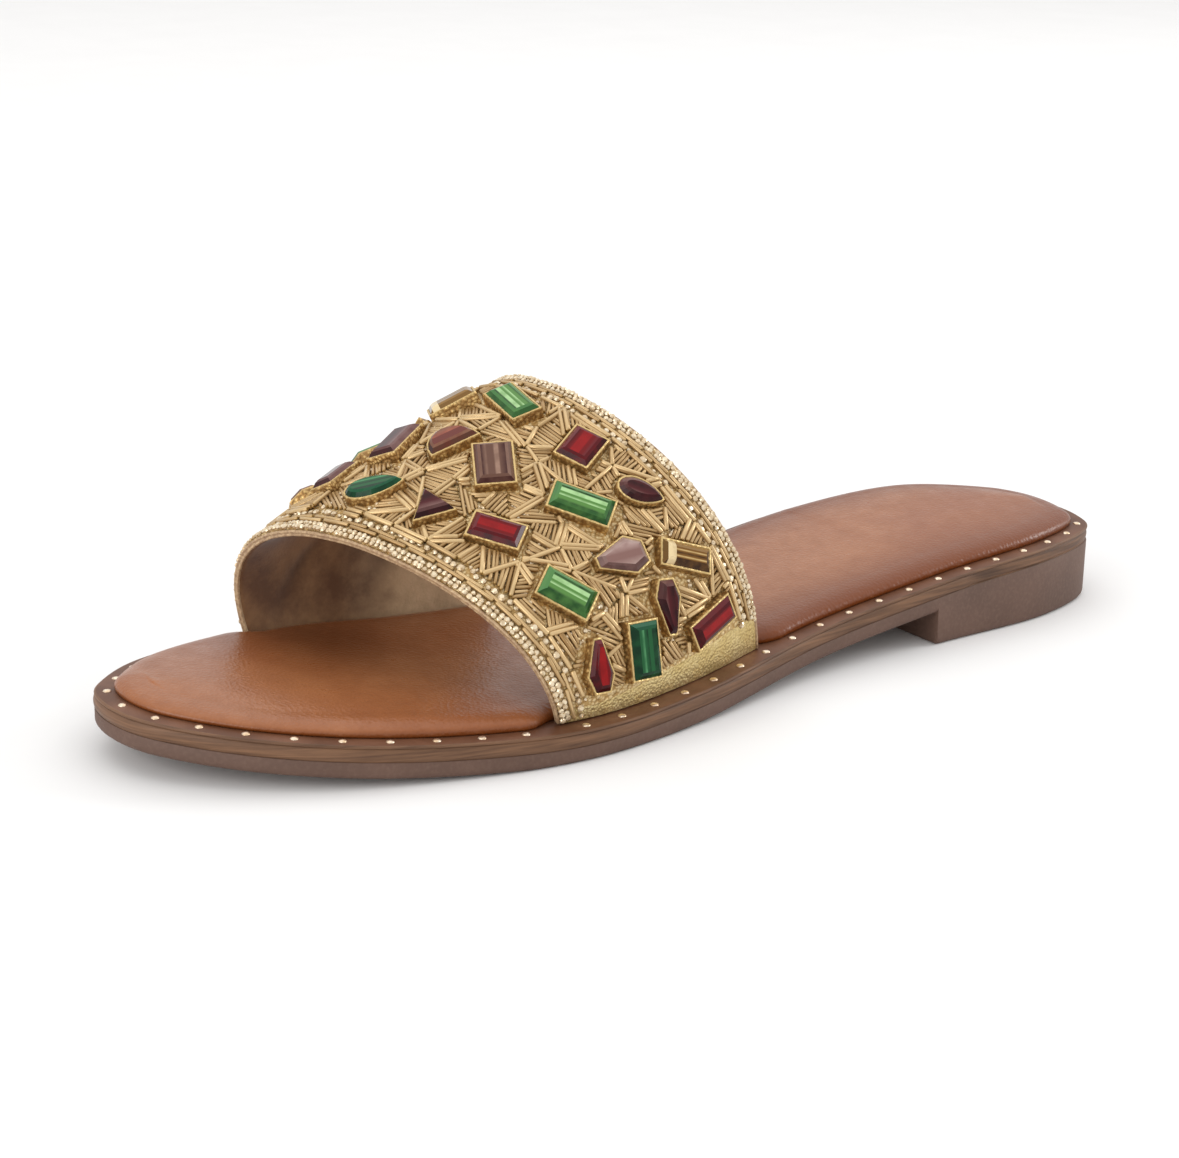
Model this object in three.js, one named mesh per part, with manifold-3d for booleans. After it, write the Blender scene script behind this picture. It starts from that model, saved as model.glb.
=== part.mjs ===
// Flat slide sandal for the left foot, with one wide jewelled band.
// Millimetres, +Z up, floor at z = 0, toe towards -Y, lateral side towards +X.
import * as THREE from 'three';
import Module from 'manifold-3d';

const wasm = await Module();
wasm.setup();

// Sole outline: distance along the foot from the back of the heel, and the width to each side.
const soleLength = 255;
const toeTipAcross = -3.2;
const soleOutline = [
  { along: 1.5, lateral: 11.1, medial: 8.0 },
  { along: 6, lateral: 19.1, medial: 16.2 },
  { along: 25, lateral: 26.8, medial: 31.0 },
  { along: 60, lateral: 29.4, medial: 35.0 },
  { along: 100, lateral: 32.4, medial: 32.0 },
  { along: 140, lateral: 42.3, medial: 34.0 },
  { along: 170, lateral: 46.6, medial: 39.0 },
  { along: 195, lateral: 43.2, medial: 42.6 },
  { along: 220, lateral: 35.2, medial: 36.8 },
  { along: 238, lateral: 24.4, medial: 28.2 },
  { along: 249, lateral: 13.3, medial: 18.2 },
  { along: 253.4, lateral: 6.0, medial: 12.0 },
];
const outlineStations = 44;
const outlineSamples = 1200;
const breastClear = 2;

// Heights of the top of the welt: lowest under the ball, ramped to the heel, sprung at the toe.
const topAtBall = 6.85;
const heelRise = 10.7;
const rampStart = 15;
const rampEnd = 165;
const toeSpring = 6.1;
const toeSpringStart = 170;
const toeSpringPower = 1.6;

// Outsole unit: the ply under the welt, pressed flat under the ball, and the heel block.
const weltHeight = 3.4;
const outsolePly = 3.45;
const ballFlat = 0.35;
const heelBreast = 62.7;
const breastDraft = 0.15;

// Clearance between neighbouring pieces.
const pieceGap = 0.3;

// Side of the outsole, from the tread up: inset from the outline, rise from the tread.
const outsoleEdge = [
  { inset: 1.5, rise: 0 },
  { inset: 0.55, rise: 0.5 },
  { inset: 0.2, rise: 1.4 },
];
const outsoleShoulder = { inset: 0.2, drop: 0.35 };
const outsoleTop = { inset: 0.55, drop: 0 };

// Welt section: inset from the outline, drop below its top face.
const weltInnerInset = 9;
const weltSection = [
  { inset: 0.5, drop: weltHeight - pieceGap / 2 },
  { inset: 0.1, drop: 2.85 },
  { inset: 0, drop: 2.1 },
  { inset: 0.1, drop: 1.35 },
  { inset: 0.35, drop: 0.75 },
  { inset: 0.2, drop: 0.5 },
  { inset: 0.2, drop: 0.25 },
  { inset: 0.5, drop: 0 },
  { inset: weltInnerInset, drop: 0 },
  { inset: weltInnerInset, drop: weltHeight - pieceGap / 2 },
];

// Padded insole: a plug inside the welt, a rolled rim on top of it and a soft crown.
const insoleInset = 5.6;
const insoleSide = 1.1;
const insoleRise = 3.4;
const insoleRoll = 4;
const insoleRollSteps = 3;
const insoleCrown = [
  { inset: 14, rise: 3.9 },
  { inset: 22, rise: 4.1 },
];

// Band: one row for each edge. Feet and apex along the foot, apex across and above its feet; then for
// each side the reach of the handles at foot and crown and the lean of the foot's handle inward, in
// degrees, and how far the medial handle sweeps forward.
const bandFront = {
  lateralFoot: 175.8, medialFoot: 206.6, apexAlong: 202.3, apexAcross: -3.5, apexRise: 31.3,
  lateralReach: 27.3, lateralCrown: 7.4, lateralLean: -9.6,
  medialReach: 26.6, medialCrown: 13.3, medialLean: -12.7, medialSweep: 7.4,
};
const bandRear = {
  lateralFoot: 116.8, medialFoot: 148, apexAlong: 144, apexAcross: -15, apexRise: 54.5,
  lateralReach: 37.8, lateralCrown: 20.6, lateralLean: -13.9,
  medialReach: 40, medialCrown: 26, medialLean: 4, medialSweep: 0,
};
const bandCamber = 2.2;
const bandFootInset = 5.3;
const bandWall = 2.2;
const footSweep = 0.3;
const apexSweep = 0.12;
const bandSpans = 12;
const archSpans = 32;
const probeStep = 0.002;
const edgeRoom = 0.006;

// Dressing of the band: a strip of crystals and long beads along each edge, and a carpet of
// bugle beads between them, open round each stone.
const dressGap = 0.4;
const frontTrimShares = [0.02, 0.142];
const rearTrimShares = [0.864, 0.985];
const trimTurns = [0.02, 1.98];
const trimSpans = 4;
const trimProfile = [1.1, 1.7, 1.4, 1.7, 1.1];
const fieldShares = [0.152, 0.854];
const fieldTurns = [0.028, 1.972];
const fieldLift = 1.4;
const fieldSpans = 6;
const fieldArcs = 32;

// Set stones: height of the setting's wall and of the table, rim round the stone, crown slope.
const settingHeight = 2.5;
const tableHeight = 3.6;
const settingRim = 0.6;
const crownInset = 1.4;
const stoneSeat = 0.35;
const kiteTip = 0.14;
const kiteShoulder = 0.18;
const kiteHeel = 0.28;
const pearFullness = 0.57;

// Where each stone sits: share from front to rear edge, turn over the arch from the lateral foot,
// and the angle of its length from the front-to-rear direction, in degrees.
const stones = [
  { cut: 'kite', glass: 'ruby', share: 0.205, turn: 0.138, length: 10.6, width: 6, angle: 83 },
  { cut: 'oblong', glass: 'pine', share: 0.407, turn: 0.135, length: 11.6, width: 7.4, angle: 81 },
  { cut: 'kite', glass: 'plum', share: 0.584, turn: 0.205, length: 11.2, width: 6, angle: -105 },
  { cut: 'oblong', glass: 'ruby', share: 0.742, turn: 0.128, length: 12.6, width: 5.4, angle: 13 },
  { cut: 'oblong', glass: 'emerald', share: 0.268, turn: 0.337, length: 11.3, width: 7, angle: -56 },
  { cut: 'kite', glass: 'mauve', share: 0.537, turn: 0.358, length: 11.4, width: 8, angle: 169 },
  { cut: 'oblong', glass: 'topaz', share: 0.758, turn: 0.292, length: 11.8, width: 5.2, angle: -34 },
  { cut: 'oblong', glass: 'ruby', share: 0.278, turn: 0.572, length: 10.8, width: 6.2, angle: -58 },
  { cut: 'oblong', glass: 'emerald', share: 0.58, turn: 0.521, length: 13, width: 6.7, angle: -56 },
  { cut: 'pear', glass: 'plum', share: 0.787, turn: 0.476, length: 9.8, width: 5.6, angle: -53 },
  { cut: 'triangle', glass: 'plum', share: 0.241, turn: 0.771, length: 8.6, width: 8, angle: -26 },
  { cut: 'oblong', glass: 'smoke', share: 0.51, turn: 0.757, length: 12, width: 8, angle: 52 },
  { cut: 'oblong', glass: 'ruby', share: 0.772, turn: 0.657, length: 9.2, width: 7.4, angle: 18 },
  { cut: 'pear', glass: 'pine', share: 0.218, turn: 1.02, length: 12.5, width: 7, angle: -50 },
  { cut: 'halfMoon', glass: 'garnet', share: 0.528, turn: 0.969, length: 11, width: 7, angle: -18 },
  { cut: 'oblong', glass: 'emerald', share: 0.8, turn: 0.93, length: 12.6, width: 6.4, angle: 74 },
  { cut: 'oblong', glass: 'plum', share: 0.47, turn: 1.198, length: 12.5, width: 7, angle: 19 },
  { cut: 'oblong', glass: 'topaz', share: 0.747, turn: 1.19, length: 10.5, width: 7, angle: -35 },
  { cut: 'oblong', glass: 'plum', share: 0.28, turn: 1.33, length: 9.5, width: 5.8, angle: 15 },
  { cut: 'oblong', glass: 'emerald', share: 0.51, turn: 1.415, length: 13, width: 6, angle: 15 },
  { cut: 'oblong', glass: 'ruby', share: 0.76, turn: 1.478, length: 10.5, width: 7, angle: 40 },
  { cut: 'kite', glass: 'garnet', share: 0.25, turn: 1.55, length: 11, width: 7, angle: 100 },
  { cut: 'oblong', glass: 'topaz', share: 0.5, turn: 1.65, length: 11.5, width: 6, angle: -25 },
  { cut: 'pear', glass: 'smoke', share: 0.77, turn: 1.699, length: 11, width: 7, angle: 75 },
  { cut: 'oblong', glass: 'emerald', share: 0.28, turn: 1.757, length: 11, width: 7, angle: 20 },
  { cut: 'oblong', glass: 'ruby', share: 0.54, turn: 1.797, length: 10.5, width: 7.5, angle: -30 },
  { cut: 'kite', glass: 'plum', share: 0.34, turn: 1.91, length: 10, width: 6.5, angle: 10 },
  { cut: 'oblong', glass: 'garnet', share: 0.745, turn: 1.879, length: 10.5, width: 6.5, angle: 15 },
];

// Finishes.
const colours = {
  soleRubber: 0x6f5247,
  weltStrip: 0x8a6a4c,
  insoleLeather: 0xa2603f,
  goldLeather: 0xc2a261,
  beadGold: 0xb8924a,
  crystal: 0xd9c8a6,
};
const glassColours = {
  ruby: 0x8c1a22,
  garnet: 0x5e2a28,
  emerald: 0x3c8048,
  pine: 0x1f5236,
  plum: 0x43242c,
  mauve: 0x6d4a50,
  topaz: 0x7a5430,
  smoke: 0x6a5044,
};

function finish(color, roughness, metalness = 0) {
  return new THREE.MeshStandardMaterial({ color, roughness, metalness });
}

// Height of the welt's top face, and of the tread, at a distance along the foot.
function topHeight(along) {
  const ramp = THREE.MathUtils.clamp((along - rampStart) / (rampEnd - rampStart), 0, 1);
  const lift = Math.max(0, along - toeSpringStart) / (soleLength - toeSpringStart);
  return topAtBall + heelRise * (0.5 + 0.5 * Math.cos(Math.PI * ramp))
    + toeSpring * lift ** toeSpringPower;
}

function treadHeight(along) {
  if (along < heelBreast) return 0;
  return Math.max(0, topHeight(along) - weltHeight - outsolePly - ballFlat);
}

// The closed outline as a smooth curve, heel to toe along the medial side and back.
const medialPoints = soleOutline.map((row) => new THREE.Vector3(row.along, -row.medial, 0));
const lateralPoints = soleOutline.map((row) => new THREE.Vector3(row.along, row.lateral, 0));
const outlineCurve = new THREE.CatmullRomCurve3(
  [
    new THREE.Vector3(0, 0, 0),
    ...medialPoints,
    new THREE.Vector3(soleLength, toeTipAcross, 0),
    ...lateralPoints.reverse(),
  ],
  true,
  'centripetal',
);
const outlineTrace = outlineCurve.getPoints(outlineSamples);
const toeIndex = outlineTrace.reduce((best, p, i) => (p.x > outlineTrace[best].x ? i : best), 0);
const medialTrace = outlineTrace.slice(0, toeIndex + 1);
const lateralTrace = outlineTrace.slice(toeIndex).reverse();
const widest = Math.max(...outlineTrace.map((p) => p.y));
const narrowest = Math.min(...outlineTrace.map((p) => p.y));
const middleAcross = (widest + narrowest) / 2;

// Where one side of a traced line lies across the foot at a distance along it.
function acrossAt(trace, along) {
  const next = Math.max(1, trace.findIndex((p) => p.x >= along));
  const a = trace[next - 1];
  const b = trace[next];
  const t = THREE.MathUtils.clamp((along - a.x) / Math.max(b.x - a.x, 1e-6), 0, 1);
  return a.y + (b.y - a.y) * t;
}

// From foot coordinates to the model's frame, centred on its own box.
function place(along, across, height) {
  return new THREE.Vector3(across - middleAcross, soleLength / 2 - along, height);
}

// Stations close up towards heel and toe, and a pair marks the breast of the heel.
function stationList() {
  const list = [];
  for (let i = 1; i < outlineStations; i++) {
    list.push((soleLength / 2) * (1 - Math.cos((Math.PI * i) / outlineStations)));
  }
  const clear = list.filter((along) => Math.abs(along - heelBreast) > breastClear);
  clear.push(heelBreast - breastDraft, heelBreast + breastDraft);
  return clear.sort((a, b) => a - b);
}

const stations = stationList();
const outlineRing = [
  { along: outlineTrace[0].x, across: 0 },
  ...stations.map((along) => ({ along, across: acrossAt(medialTrace, along) })),
  { along: outlineTrace[toeIndex].x, across: outlineTrace[toeIndex].y },
  ...stations.slice().reverse().map((along) => ({ along, across: acrossAt(lateralTrace, along) })),
];
const ringSize = outlineRing.length;

// Outward direction of the outline at each ring point, in foot coordinates.
const ringOutward = outlineRing.map((point, i) => {
  const before = outlineRing[(i + ringSize - 1) % ringSize];
  const after = outlineRing[(i + 1) % ringSize];
  return new THREE.Vector2(after.across - before.across, before.along - after.along).normalize();
});

// A ring of points at an inset from the outline, with a height for each station.
function insetRing(inset, height) {
  return outlineRing.map((point, i) => {
    const along = point.along - inset * ringOutward[i].x;
    const across = point.across - inset * ringOutward[i].y;
    return place(along, across, height(point.along));
  });
}

function solid(points, faces) {
  const geometry = new THREE.BufferGeometry();
  const positions = points.flatMap((p) => p.toArray());
  geometry.setAttribute('position', new THREE.Float32BufferAttribute(positions, 3));
  geometry.setIndex(faces.flat());
  geometry.computeVertexNormals();
  return geometry;
}

// Walls between neighbouring rings; a closed section also joins the last ring to the first.
function ringWalls(rings, closedSection) {
  const count = rings[0].length;
  const faces = [];
  const levels = closedSection ? rings.length : rings.length - 1;
  for (let level = 0; level < levels; level++) {
    const low = level * count;
    const high = ((level + 1) % rings.length) * count;
    for (let i = 0; i < count; i++) {
      const next = (i + 1) % count;
      faces.push([low + i, low + next, high + next], [low + i, high + next, high + i]);
    }
  }
  return faces;
}

// Rungs from side to side across a ring close a body below or above.
function ladder(start, upward) {
  const faces = [];
  const half = ringSize / 2;
  for (let i = 0; i < half; i++) {
    const across = ringSize - i - 1;
    if (i + 1 !== across) faces.push([start + i, start + i + 1, start + across]);
    if (i > 0) faces.push([start + i, start + across, start + ((across + 1) % ringSize)]);
  }
  return upward ? faces : faces.map(([a, b, c]) => [a, c, b]);
}

function stackedBody(rings) {
  const top = (rings.length - 1) * ringSize;
  return solid(rings.flat(), [...ringWalls(rings, false), ...ladder(0, false), ...ladder(top, true)]);
}

function outsole() {
  const rings = outsoleEdge.map(
    ({ inset, rise }) => insetRing(inset, (station) => treadHeight(station) + rise),
  );
  for (const { inset, drop } of [outsoleShoulder, outsoleTop]) {
    const below = weltHeight + pieceGap / 2 + drop;
    rings.push(insetRing(inset, (station) => topHeight(station) - below));
  }
  return stackedBody(rings);
}

function welt() {
  const rings = weltSection.map(
    ({ inset, drop }) => insetRing(inset, (station) => topHeight(station) - drop),
  );
  return solid(rings.flat(), ringWalls(rings, true));
}

function insoleBlank() {
  const plugInset = weltInnerInset + pieceGap;
  const plugBottom = pieceGap / 2 - weltHeight;
  const levels = [
    { inset: plugInset, rise: plugBottom },
    { inset: plugInset, rise: pieceGap },
    { inset: insoleInset, rise: pieceGap },
  ];
  for (let i = 0; i <= insoleRollSteps; i++) {
    const turn = (Math.PI / 2) * (i / insoleRollSteps);
    const inset = insoleInset + insoleRoll * (1 - Math.cos(turn));
    levels.push({ inset, rise: insoleSide + (insoleRise - insoleSide) * Math.sin(turn) });
  }
  levels.push(...insoleCrown);
  return stackedBody(levels.map(
    ({ inset, rise }) => insetRing(inset, (station) => topHeight(station) + rise),
  ));
}

// One edge line of the band: an arch of two cubic curves that meet level at its apex.
function bandArch(share) {
  const row = {};
  for (const key of Object.keys(bandFront)) {
    row[key] = THREE.MathUtils.lerp(bandFront[key], bandRear[key], share);
  }
  const camber = bandCamber * 4 * share * (1 - share);
  const footLateral = footPoint(row.lateralFoot, lateralTrace);
  const footMedial = footPoint(row.medialFoot, medialTrace);
  const apexHeight = (footLateral.z + footMedial.z) / 2 + row.apexRise + camber;
  const apex = new THREE.Vector3(row.apexAlong, row.apexAcross, apexHeight);
  const skew = apexSweep * (row.medialFoot - row.lateralFoot);
  const lateralLean = THREE.MathUtils.degToRad(row.lateralLean);
  const medialLean = THREE.MathUtils.degToRad(row.medialLean);
  const lateral = new THREE.CubicBezierCurve3(
    footLateral,
    new THREE.Vector3(
      footLateral.x + footSweep * (apex.x - footLateral.x),
      footLateral.y - row.lateralReach * Math.sin(lateralLean),
      footLateral.z + row.lateralReach * Math.cos(lateralLean),
    ),
    new THREE.Vector3(apex.x - skew, apex.y + row.lateralCrown, apex.z),
    apex,
  );
  const medial = new THREE.CubicBezierCurve3(
    apex,
    new THREE.Vector3(apex.x + skew, apex.y - row.medialCrown, apex.z),
    new THREE.Vector3(
      footMedial.x + footSweep * (apex.x - footMedial.x) + row.medialSweep,
      footMedial.y + row.medialReach * Math.sin(medialLean),
      footMedial.z + row.medialReach * Math.cos(medialLean),
    ),
    footMedial,
  );
  return { lateral, medial };
}

// The band's foot stands on the welt, inset from the outline.
function footPoint(along, trace) {
  const step = 0.5;
  const before = acrossAt(trace, along - step);
  const after = acrossAt(trace, along + step);
  const side = Math.sign(before);
  const outward = new THREE.Vector2(-(after - before), 2 * step).normalize().multiplyScalar(side);
  const across = acrossAt(trace, along + bandFootInset * outward.x) - bandFootInset * outward.y;
  return new THREE.Vector3(along, across, topHeight(along) + pieceGap);
}

// A point of the band's outer face: share runs from front edge to rear edge, turn from the
// lateral foot (0) over the apex (1) to the medial foot (2).
function bandPoint(share, turn) {
  const { lateral, medial } = bandArch(share);
  const p = turn <= 1 ? lateral.getPoint(turn) : medial.getPoint(turn - 1);
  return place(p.x, p.y, p.z);
}

function bandNormal(share, turn) {
  const low = THREE.MathUtils.clamp(turn - probeStep, 0, 2 - 2 * probeStep);
  const alongBand = bandPoint(share + probeStep, turn).sub(bandPoint(share - probeStep, turn));
  const overArch = bandPoint(share, low + 2 * probeStep).sub(bandPoint(share, low));
  return alongBand.cross(overArch).normalize();
}

// A curved plate that follows the band between two shares and two turns, from one lift to
// another; a profile gives the outer lift at each step from front to rear.
function bandPlate({ shares, turns, lifts, profile, footDrop = 0, spans = bandSpans, arcs = archSpans }) {
  const layers = lifts.map(() => []);
  for (let i = 0; i <= spans; i++) {
    const share = THREE.MathUtils.lerp(shares[0], shares[1], i / spans);
    const heights = profile ? [lifts[0], profile[i]] : lifts;
    for (let j = 0; j <= arcs; j++) {
      const turn = THREE.MathUtils.lerp(turns[0], turns[1], j / arcs);
      const base = bandPoint(share, turn);
      const normal = bandNormal(share, turn);
      const onFoot = turn === 0 || turn === 2;
      if (onFoot) normal.setZ(0).normalize();
      heights.forEach((lift, layer) => {
        const point = base.clone().addScaledVector(normal, lift);
        if (onFoot) point.z -= footDrop;
        layers[layer].push(point);
      });
    }
  }
  return plateFromLayers(layers, spans, arcs);
}

function plateFromLayers([inner, outer], spans, arcs) {
  const row = arcs + 1;
  const faces = [];
  const upper = inner.length;
  for (let i = 0; i < spans; i++) {
    for (let j = 0; j < arcs; j++) {
      const a = i * row + j;
      const [b, c, d] = [a + row, a + row + 1, a + 1];
      faces.push([upper + a, upper + b, upper + c], [upper + a, upper + c, upper + d]);
      faces.push([a, c, b], [a, d, c]);
    }
  }
  const rim = [];
  for (let i = 0; i < spans; i++) rim.push(i * row);
  for (let j = 0; j < arcs; j++) rim.push(spans * row + j);
  for (let i = spans; i > 0; i--) rim.push(i * row + arcs);
  for (let j = arcs; j > 0; j--) rim.push(j);
  rim.forEach((a, k) => {
    const b = rim[(k + 1) % rim.length];
    faces.push([a, b, upper + b], [a, upper + b, upper + a]);
  });
  return solid([...inner, ...outer], faces);
}

function toManifold(geometry) {
  const vertProperties = Float32Array.from(geometry.getAttribute('position').array);
  const triVerts = Uint32Array.from(geometry.index.array);
  return new wasm.Manifold(new wasm.Mesh({ numProp: 3, vertProperties, triVerts }));
}

function fromManifold(body) {
  const mesh = body.getMesh();
  const geometry = new THREE.BufferGeometry();
  const positions = Float32Array.from(mesh.vertProperties);
  geometry.setAttribute('position', new THREE.Float32BufferAttribute(positions, 3));
  geometry.setIndex([...mesh.triVerts]);
  geometry.computeVertexNormals();
  return geometry;
}

function upper() {
  return bandPlate({ shares: [0, 1], turns: [0, 2], lifts: [-bandWall, 0] });
}

// The insole's rim is cut back where the band's feet stand.
function insole() {
  const room = bandPlate({
    shares: [-edgeRoom, 1 + edgeRoom],
    turns: [0, 2],
    lifts: [-bandWall - pieceGap, pieceGap],
    footDrop: 2 * pieceGap,
  });
  return fromManifold(toManifold(insoleBlank()).subtract(toManifold(room)));
}

// Outlines of the cuts from above: length along x, with the point of a pear or kite at +x.
const cutOutlines = {
  oblong: (length, width) => [
    [length / 2, -width / 2], [length / 2, width / 2], [-length / 2, width / 2], [-length / 2, -width / 2],
  ],
  kite: (length, width) => [
    [length / 2, -width * kiteTip], [length / 2, width * kiteTip], [-length * kiteShoulder, width / 2],
    [-length / 2, width * kiteHeel], [-length / 2, -width * kiteHeel], [-length * kiteShoulder, -width / 2],
  ],
  triangle: (length, width) => [[length / 2, -width / 2], [0, width / 2], [-length / 2, -width / 2]],
  pear: (length, width) => arcPoints(12, 2 * Math.PI, false).map((turn) => [
    (length / 2) * Math.cos(turn), pearFullness * width * Math.sin(turn) * Math.sqrt(Math.sin(turn / 2)),
  ]),
  halfMoon: (length, width) => arcPoints(7, Math.PI, true).map((turn) => [
    (length / 2) * Math.cos(turn), width * (Math.sin(turn) - 0.5),
  ]),
};

function arcPoints(count, sweep, withEnd) {
  const steps = withEnd ? count - 1 : count;
  return Array.from({ length: count }, (_, i) => (sweep * i) / steps);
}

// A stone in its setting: rings of one outline, grown or drawn in, closed below and above.
function stoneBody({ cut, length, width }, levels) {
  const outline = cutOutlines[cut](length, width);
  const rings = levels.map(({ grow, height }) => outline.map(([x, y]) => new THREE.Vector3(
    x * (1 + (2 * grow) / length), y * (1 + (2 * grow) / width), height,
  )));
  const count = outline.length;
  const top = (levels.length - 1) * count;
  const faces = ringWalls(rings, false);
  for (let i = 1; i + 1 < count; i++) {
    faces.push([0, i + 1, i], [top, top + i, top + i + 1]);
  }
  return solid(rings.flat(), faces);
}

// The frame of a seat on the band: length direction, width direction and the way out.
function seatMatrix({ share, turn, angle }) {
  const out = bandNormal(share, turn);
  const rearward = bandPoint(share + probeStep, turn).sub(bandPoint(share - probeStep, turn));
  rearward.addScaledVector(out, -rearward.dot(out)).normalize();
  const lengthways = rearward.applyAxisAngle(out, THREE.MathUtils.degToRad(angle));
  const across = out.clone().cross(lengthways);
  const seat = bandPoint(share, turn).addScaledVector(out, stoneSeat);
  return new THREE.Matrix4().makeBasis(lengthways, across, out).setPosition(seat);
}

const stoneLevels = [
  { grow: settingRim, height: 0 },
  { grow: settingRim, height: settingHeight },
  { grow: 0, height: settingHeight },
  { grow: -crownInset, height: tableHeight },
];
const socketLevels = [
  { grow: settingRim + dressGap, height: -fieldLift },
  { grow: settingRim + dressGap, height: tableHeight },
];

// Dressing is cut open round each setting that it meets, and a scrap cut off on its own is dropped.
function openRoundStones(plate) {
  const sockets = stones.map(
    (row) => toManifold(stoneBody(row, socketLevels).applyMatrix4(seatMatrix(row))),
  );
  const opened = sockets.reduce((rest, socket) => rest.subtract(socket), toManifold(plate));
  const bodies = opened.decompose();
  return fromManifold(bodies.reduce((best, body) => (body.volume() > best.volume() ? body : best)));
}

function beadField() {
  return openRoundStones(bandPlate({
    shares: fieldShares, turns: fieldTurns, lifts: [dressGap, fieldLift], spans: fieldSpans, arcs: fieldArcs,
  }));
}

function trim(shares) {
  return openRoundStones(bandPlate({
    shares, turns: trimTurns, lifts: [dressGap, dressGap], profile: trimProfile, spans: trimSpans,
  }));
}

const sandal = new THREE.Group();

function addPiece(name, geometry, material) {
  const mesh = new THREE.Mesh(geometry, material);
  mesh.name = name;
  sandal.add(mesh);
  return mesh;
}

addPiece('outsole', outsole(), finish(colours.soleRubber, 0.7));
addPiece('welt', welt(), finish(colours.weltStrip, 0.6));
addPiece('insole', insole(), finish(colours.insoleLeather, 0.45));
addPiece('upper', upper(), finish(colours.goldLeather, 0.4, 0.6));
addPiece('bead_field', beadField(), finish(colours.beadGold, 0.35, 0.8));
addPiece('front_trim', trim(frontTrimShares), finish(colours.crystal, 0.3, 0.5));
addPiece('rear_trim', trim(rearTrimShares), finish(colours.crystal, 0.3, 0.5));

stones.forEach((row, i) => {
  const name = `stone_${String(i + 1).padStart(2, '0')}`;
  const stone = addPiece(name, stoneBody(row, stoneLevels), finish(glassColours[row.glass], 0.1));
  seatMatrix(row).decompose(stone.position, stone.quaternion, stone.scale);
});

export default sandal;
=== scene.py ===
# Flat slide sandal for the left foot: moulded sole, studded welt, padded footbed, jewelled band.
# Sizes in the dictionaries are millimetres; meshes are written in metres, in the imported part's frame.
import math
import bmesh
import bpy
import numpy as np
from mathutils import Matrix, Vector, geometry


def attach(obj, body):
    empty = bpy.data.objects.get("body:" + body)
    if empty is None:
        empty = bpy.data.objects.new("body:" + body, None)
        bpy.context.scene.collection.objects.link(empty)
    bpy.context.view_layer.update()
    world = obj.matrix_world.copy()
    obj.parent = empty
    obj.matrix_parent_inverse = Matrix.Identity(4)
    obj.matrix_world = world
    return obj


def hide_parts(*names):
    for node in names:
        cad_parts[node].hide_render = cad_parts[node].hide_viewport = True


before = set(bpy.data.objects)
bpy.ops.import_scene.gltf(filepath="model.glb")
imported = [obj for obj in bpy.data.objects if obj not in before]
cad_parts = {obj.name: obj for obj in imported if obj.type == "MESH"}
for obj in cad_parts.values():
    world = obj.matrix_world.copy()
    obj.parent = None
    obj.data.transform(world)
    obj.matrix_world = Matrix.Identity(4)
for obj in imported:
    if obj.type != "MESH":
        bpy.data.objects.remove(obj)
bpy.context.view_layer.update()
metresPerMm = 0.001
mergeDistance = 1e-6  # metres
socketNames = {"rough": "Roughness", "metal": "Metallic", "ior": "IOR", "specular": "Specular IOR Level",
               "sheen": "Sheen Weight"}


# sRGB hex to linear light, channel by channel, by the standard piecewise curve
def linear(hexColour):
    channels = np.array([int(hexColour[i:i + 2], 16) for i in (1, 3, 5)]) / 255
    curved = np.where(channels <= 0.04045, channels / 12.92, ((channels + 0.055) / 1.055) ** 2.4)
    return (*curved, 1.0)


# Adds one node and gives one of its outputs; an input is a socket to link, a colour in hex or a value
def addNode(tree, kind, inputs=(), output=0, **settings):
    made = tree.nodes.new("ShaderNode" + kind)
    for key, value in settings.items():
        setattr(made, key, value)
    for key, value in dict(inputs).items():
        if isinstance(value, bpy.types.NodeSocket):
            tree.links.new(value, made.inputs[key])
        else:
            made.inputs[key].default_value = linear(value) if isinstance(value, str) else value
    return made.outputs[output]


# A material with the constant sockets of its shader set, its tree, and the object's coordinates
def startMaterial(name, **sockets):
    material = bpy.data.materials.new(name)
    material.use_nodes = True
    tree = material.node_tree
    for key, value in sockets.items():
        tree.nodes["Principled BSDF"].inputs[socketNames[key]].default_value = value
    return material, tree, addNode(tree, "TexCoord", output="Object")


# Two colours mixed by a pattern; a spread stretches the pattern, from none of the second colour at its
# first level to the top share of it at its second
def blend(tree, pattern, first, second, spread=None, top=1.0):
    if spread is not None:
        pattern = addNode(tree, "MapRange", {0: pattern, 1: spread[0], 2: spread[1], 4: top})
    return addNode(tree, "Mix", {0: pattern, 6: first, 7: second}, 2, data_type="RGBA")


# Links the base colour, and layers of relief one over another: pattern, strength (below zero for a
# pattern that sinks) and depth in millimetres
def finishMaterial(material, base, *reliefs):
    tree = material.node_tree
    shader = tree.nodes["Principled BSDF"]
    tree.links.new(base, shader.inputs["Base Color"])
    under = {}
    for pattern, strength, depth in reliefs:
        sizes = {"Strength": abs(strength), "Distance": depth * metresPerMm}
        under = {"Normal": addNode(tree, "Bump", {"Height": pattern, **sizes, **under}, invert=strength < 0)}
        tree.links.new(under["Normal"], shader.inputs["Normal"])
    return material


# Scale of a noise or cell pattern whose features are this many millimetres apart
def patternScale(size):
    return 1 / (size * metresPerMm)


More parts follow.
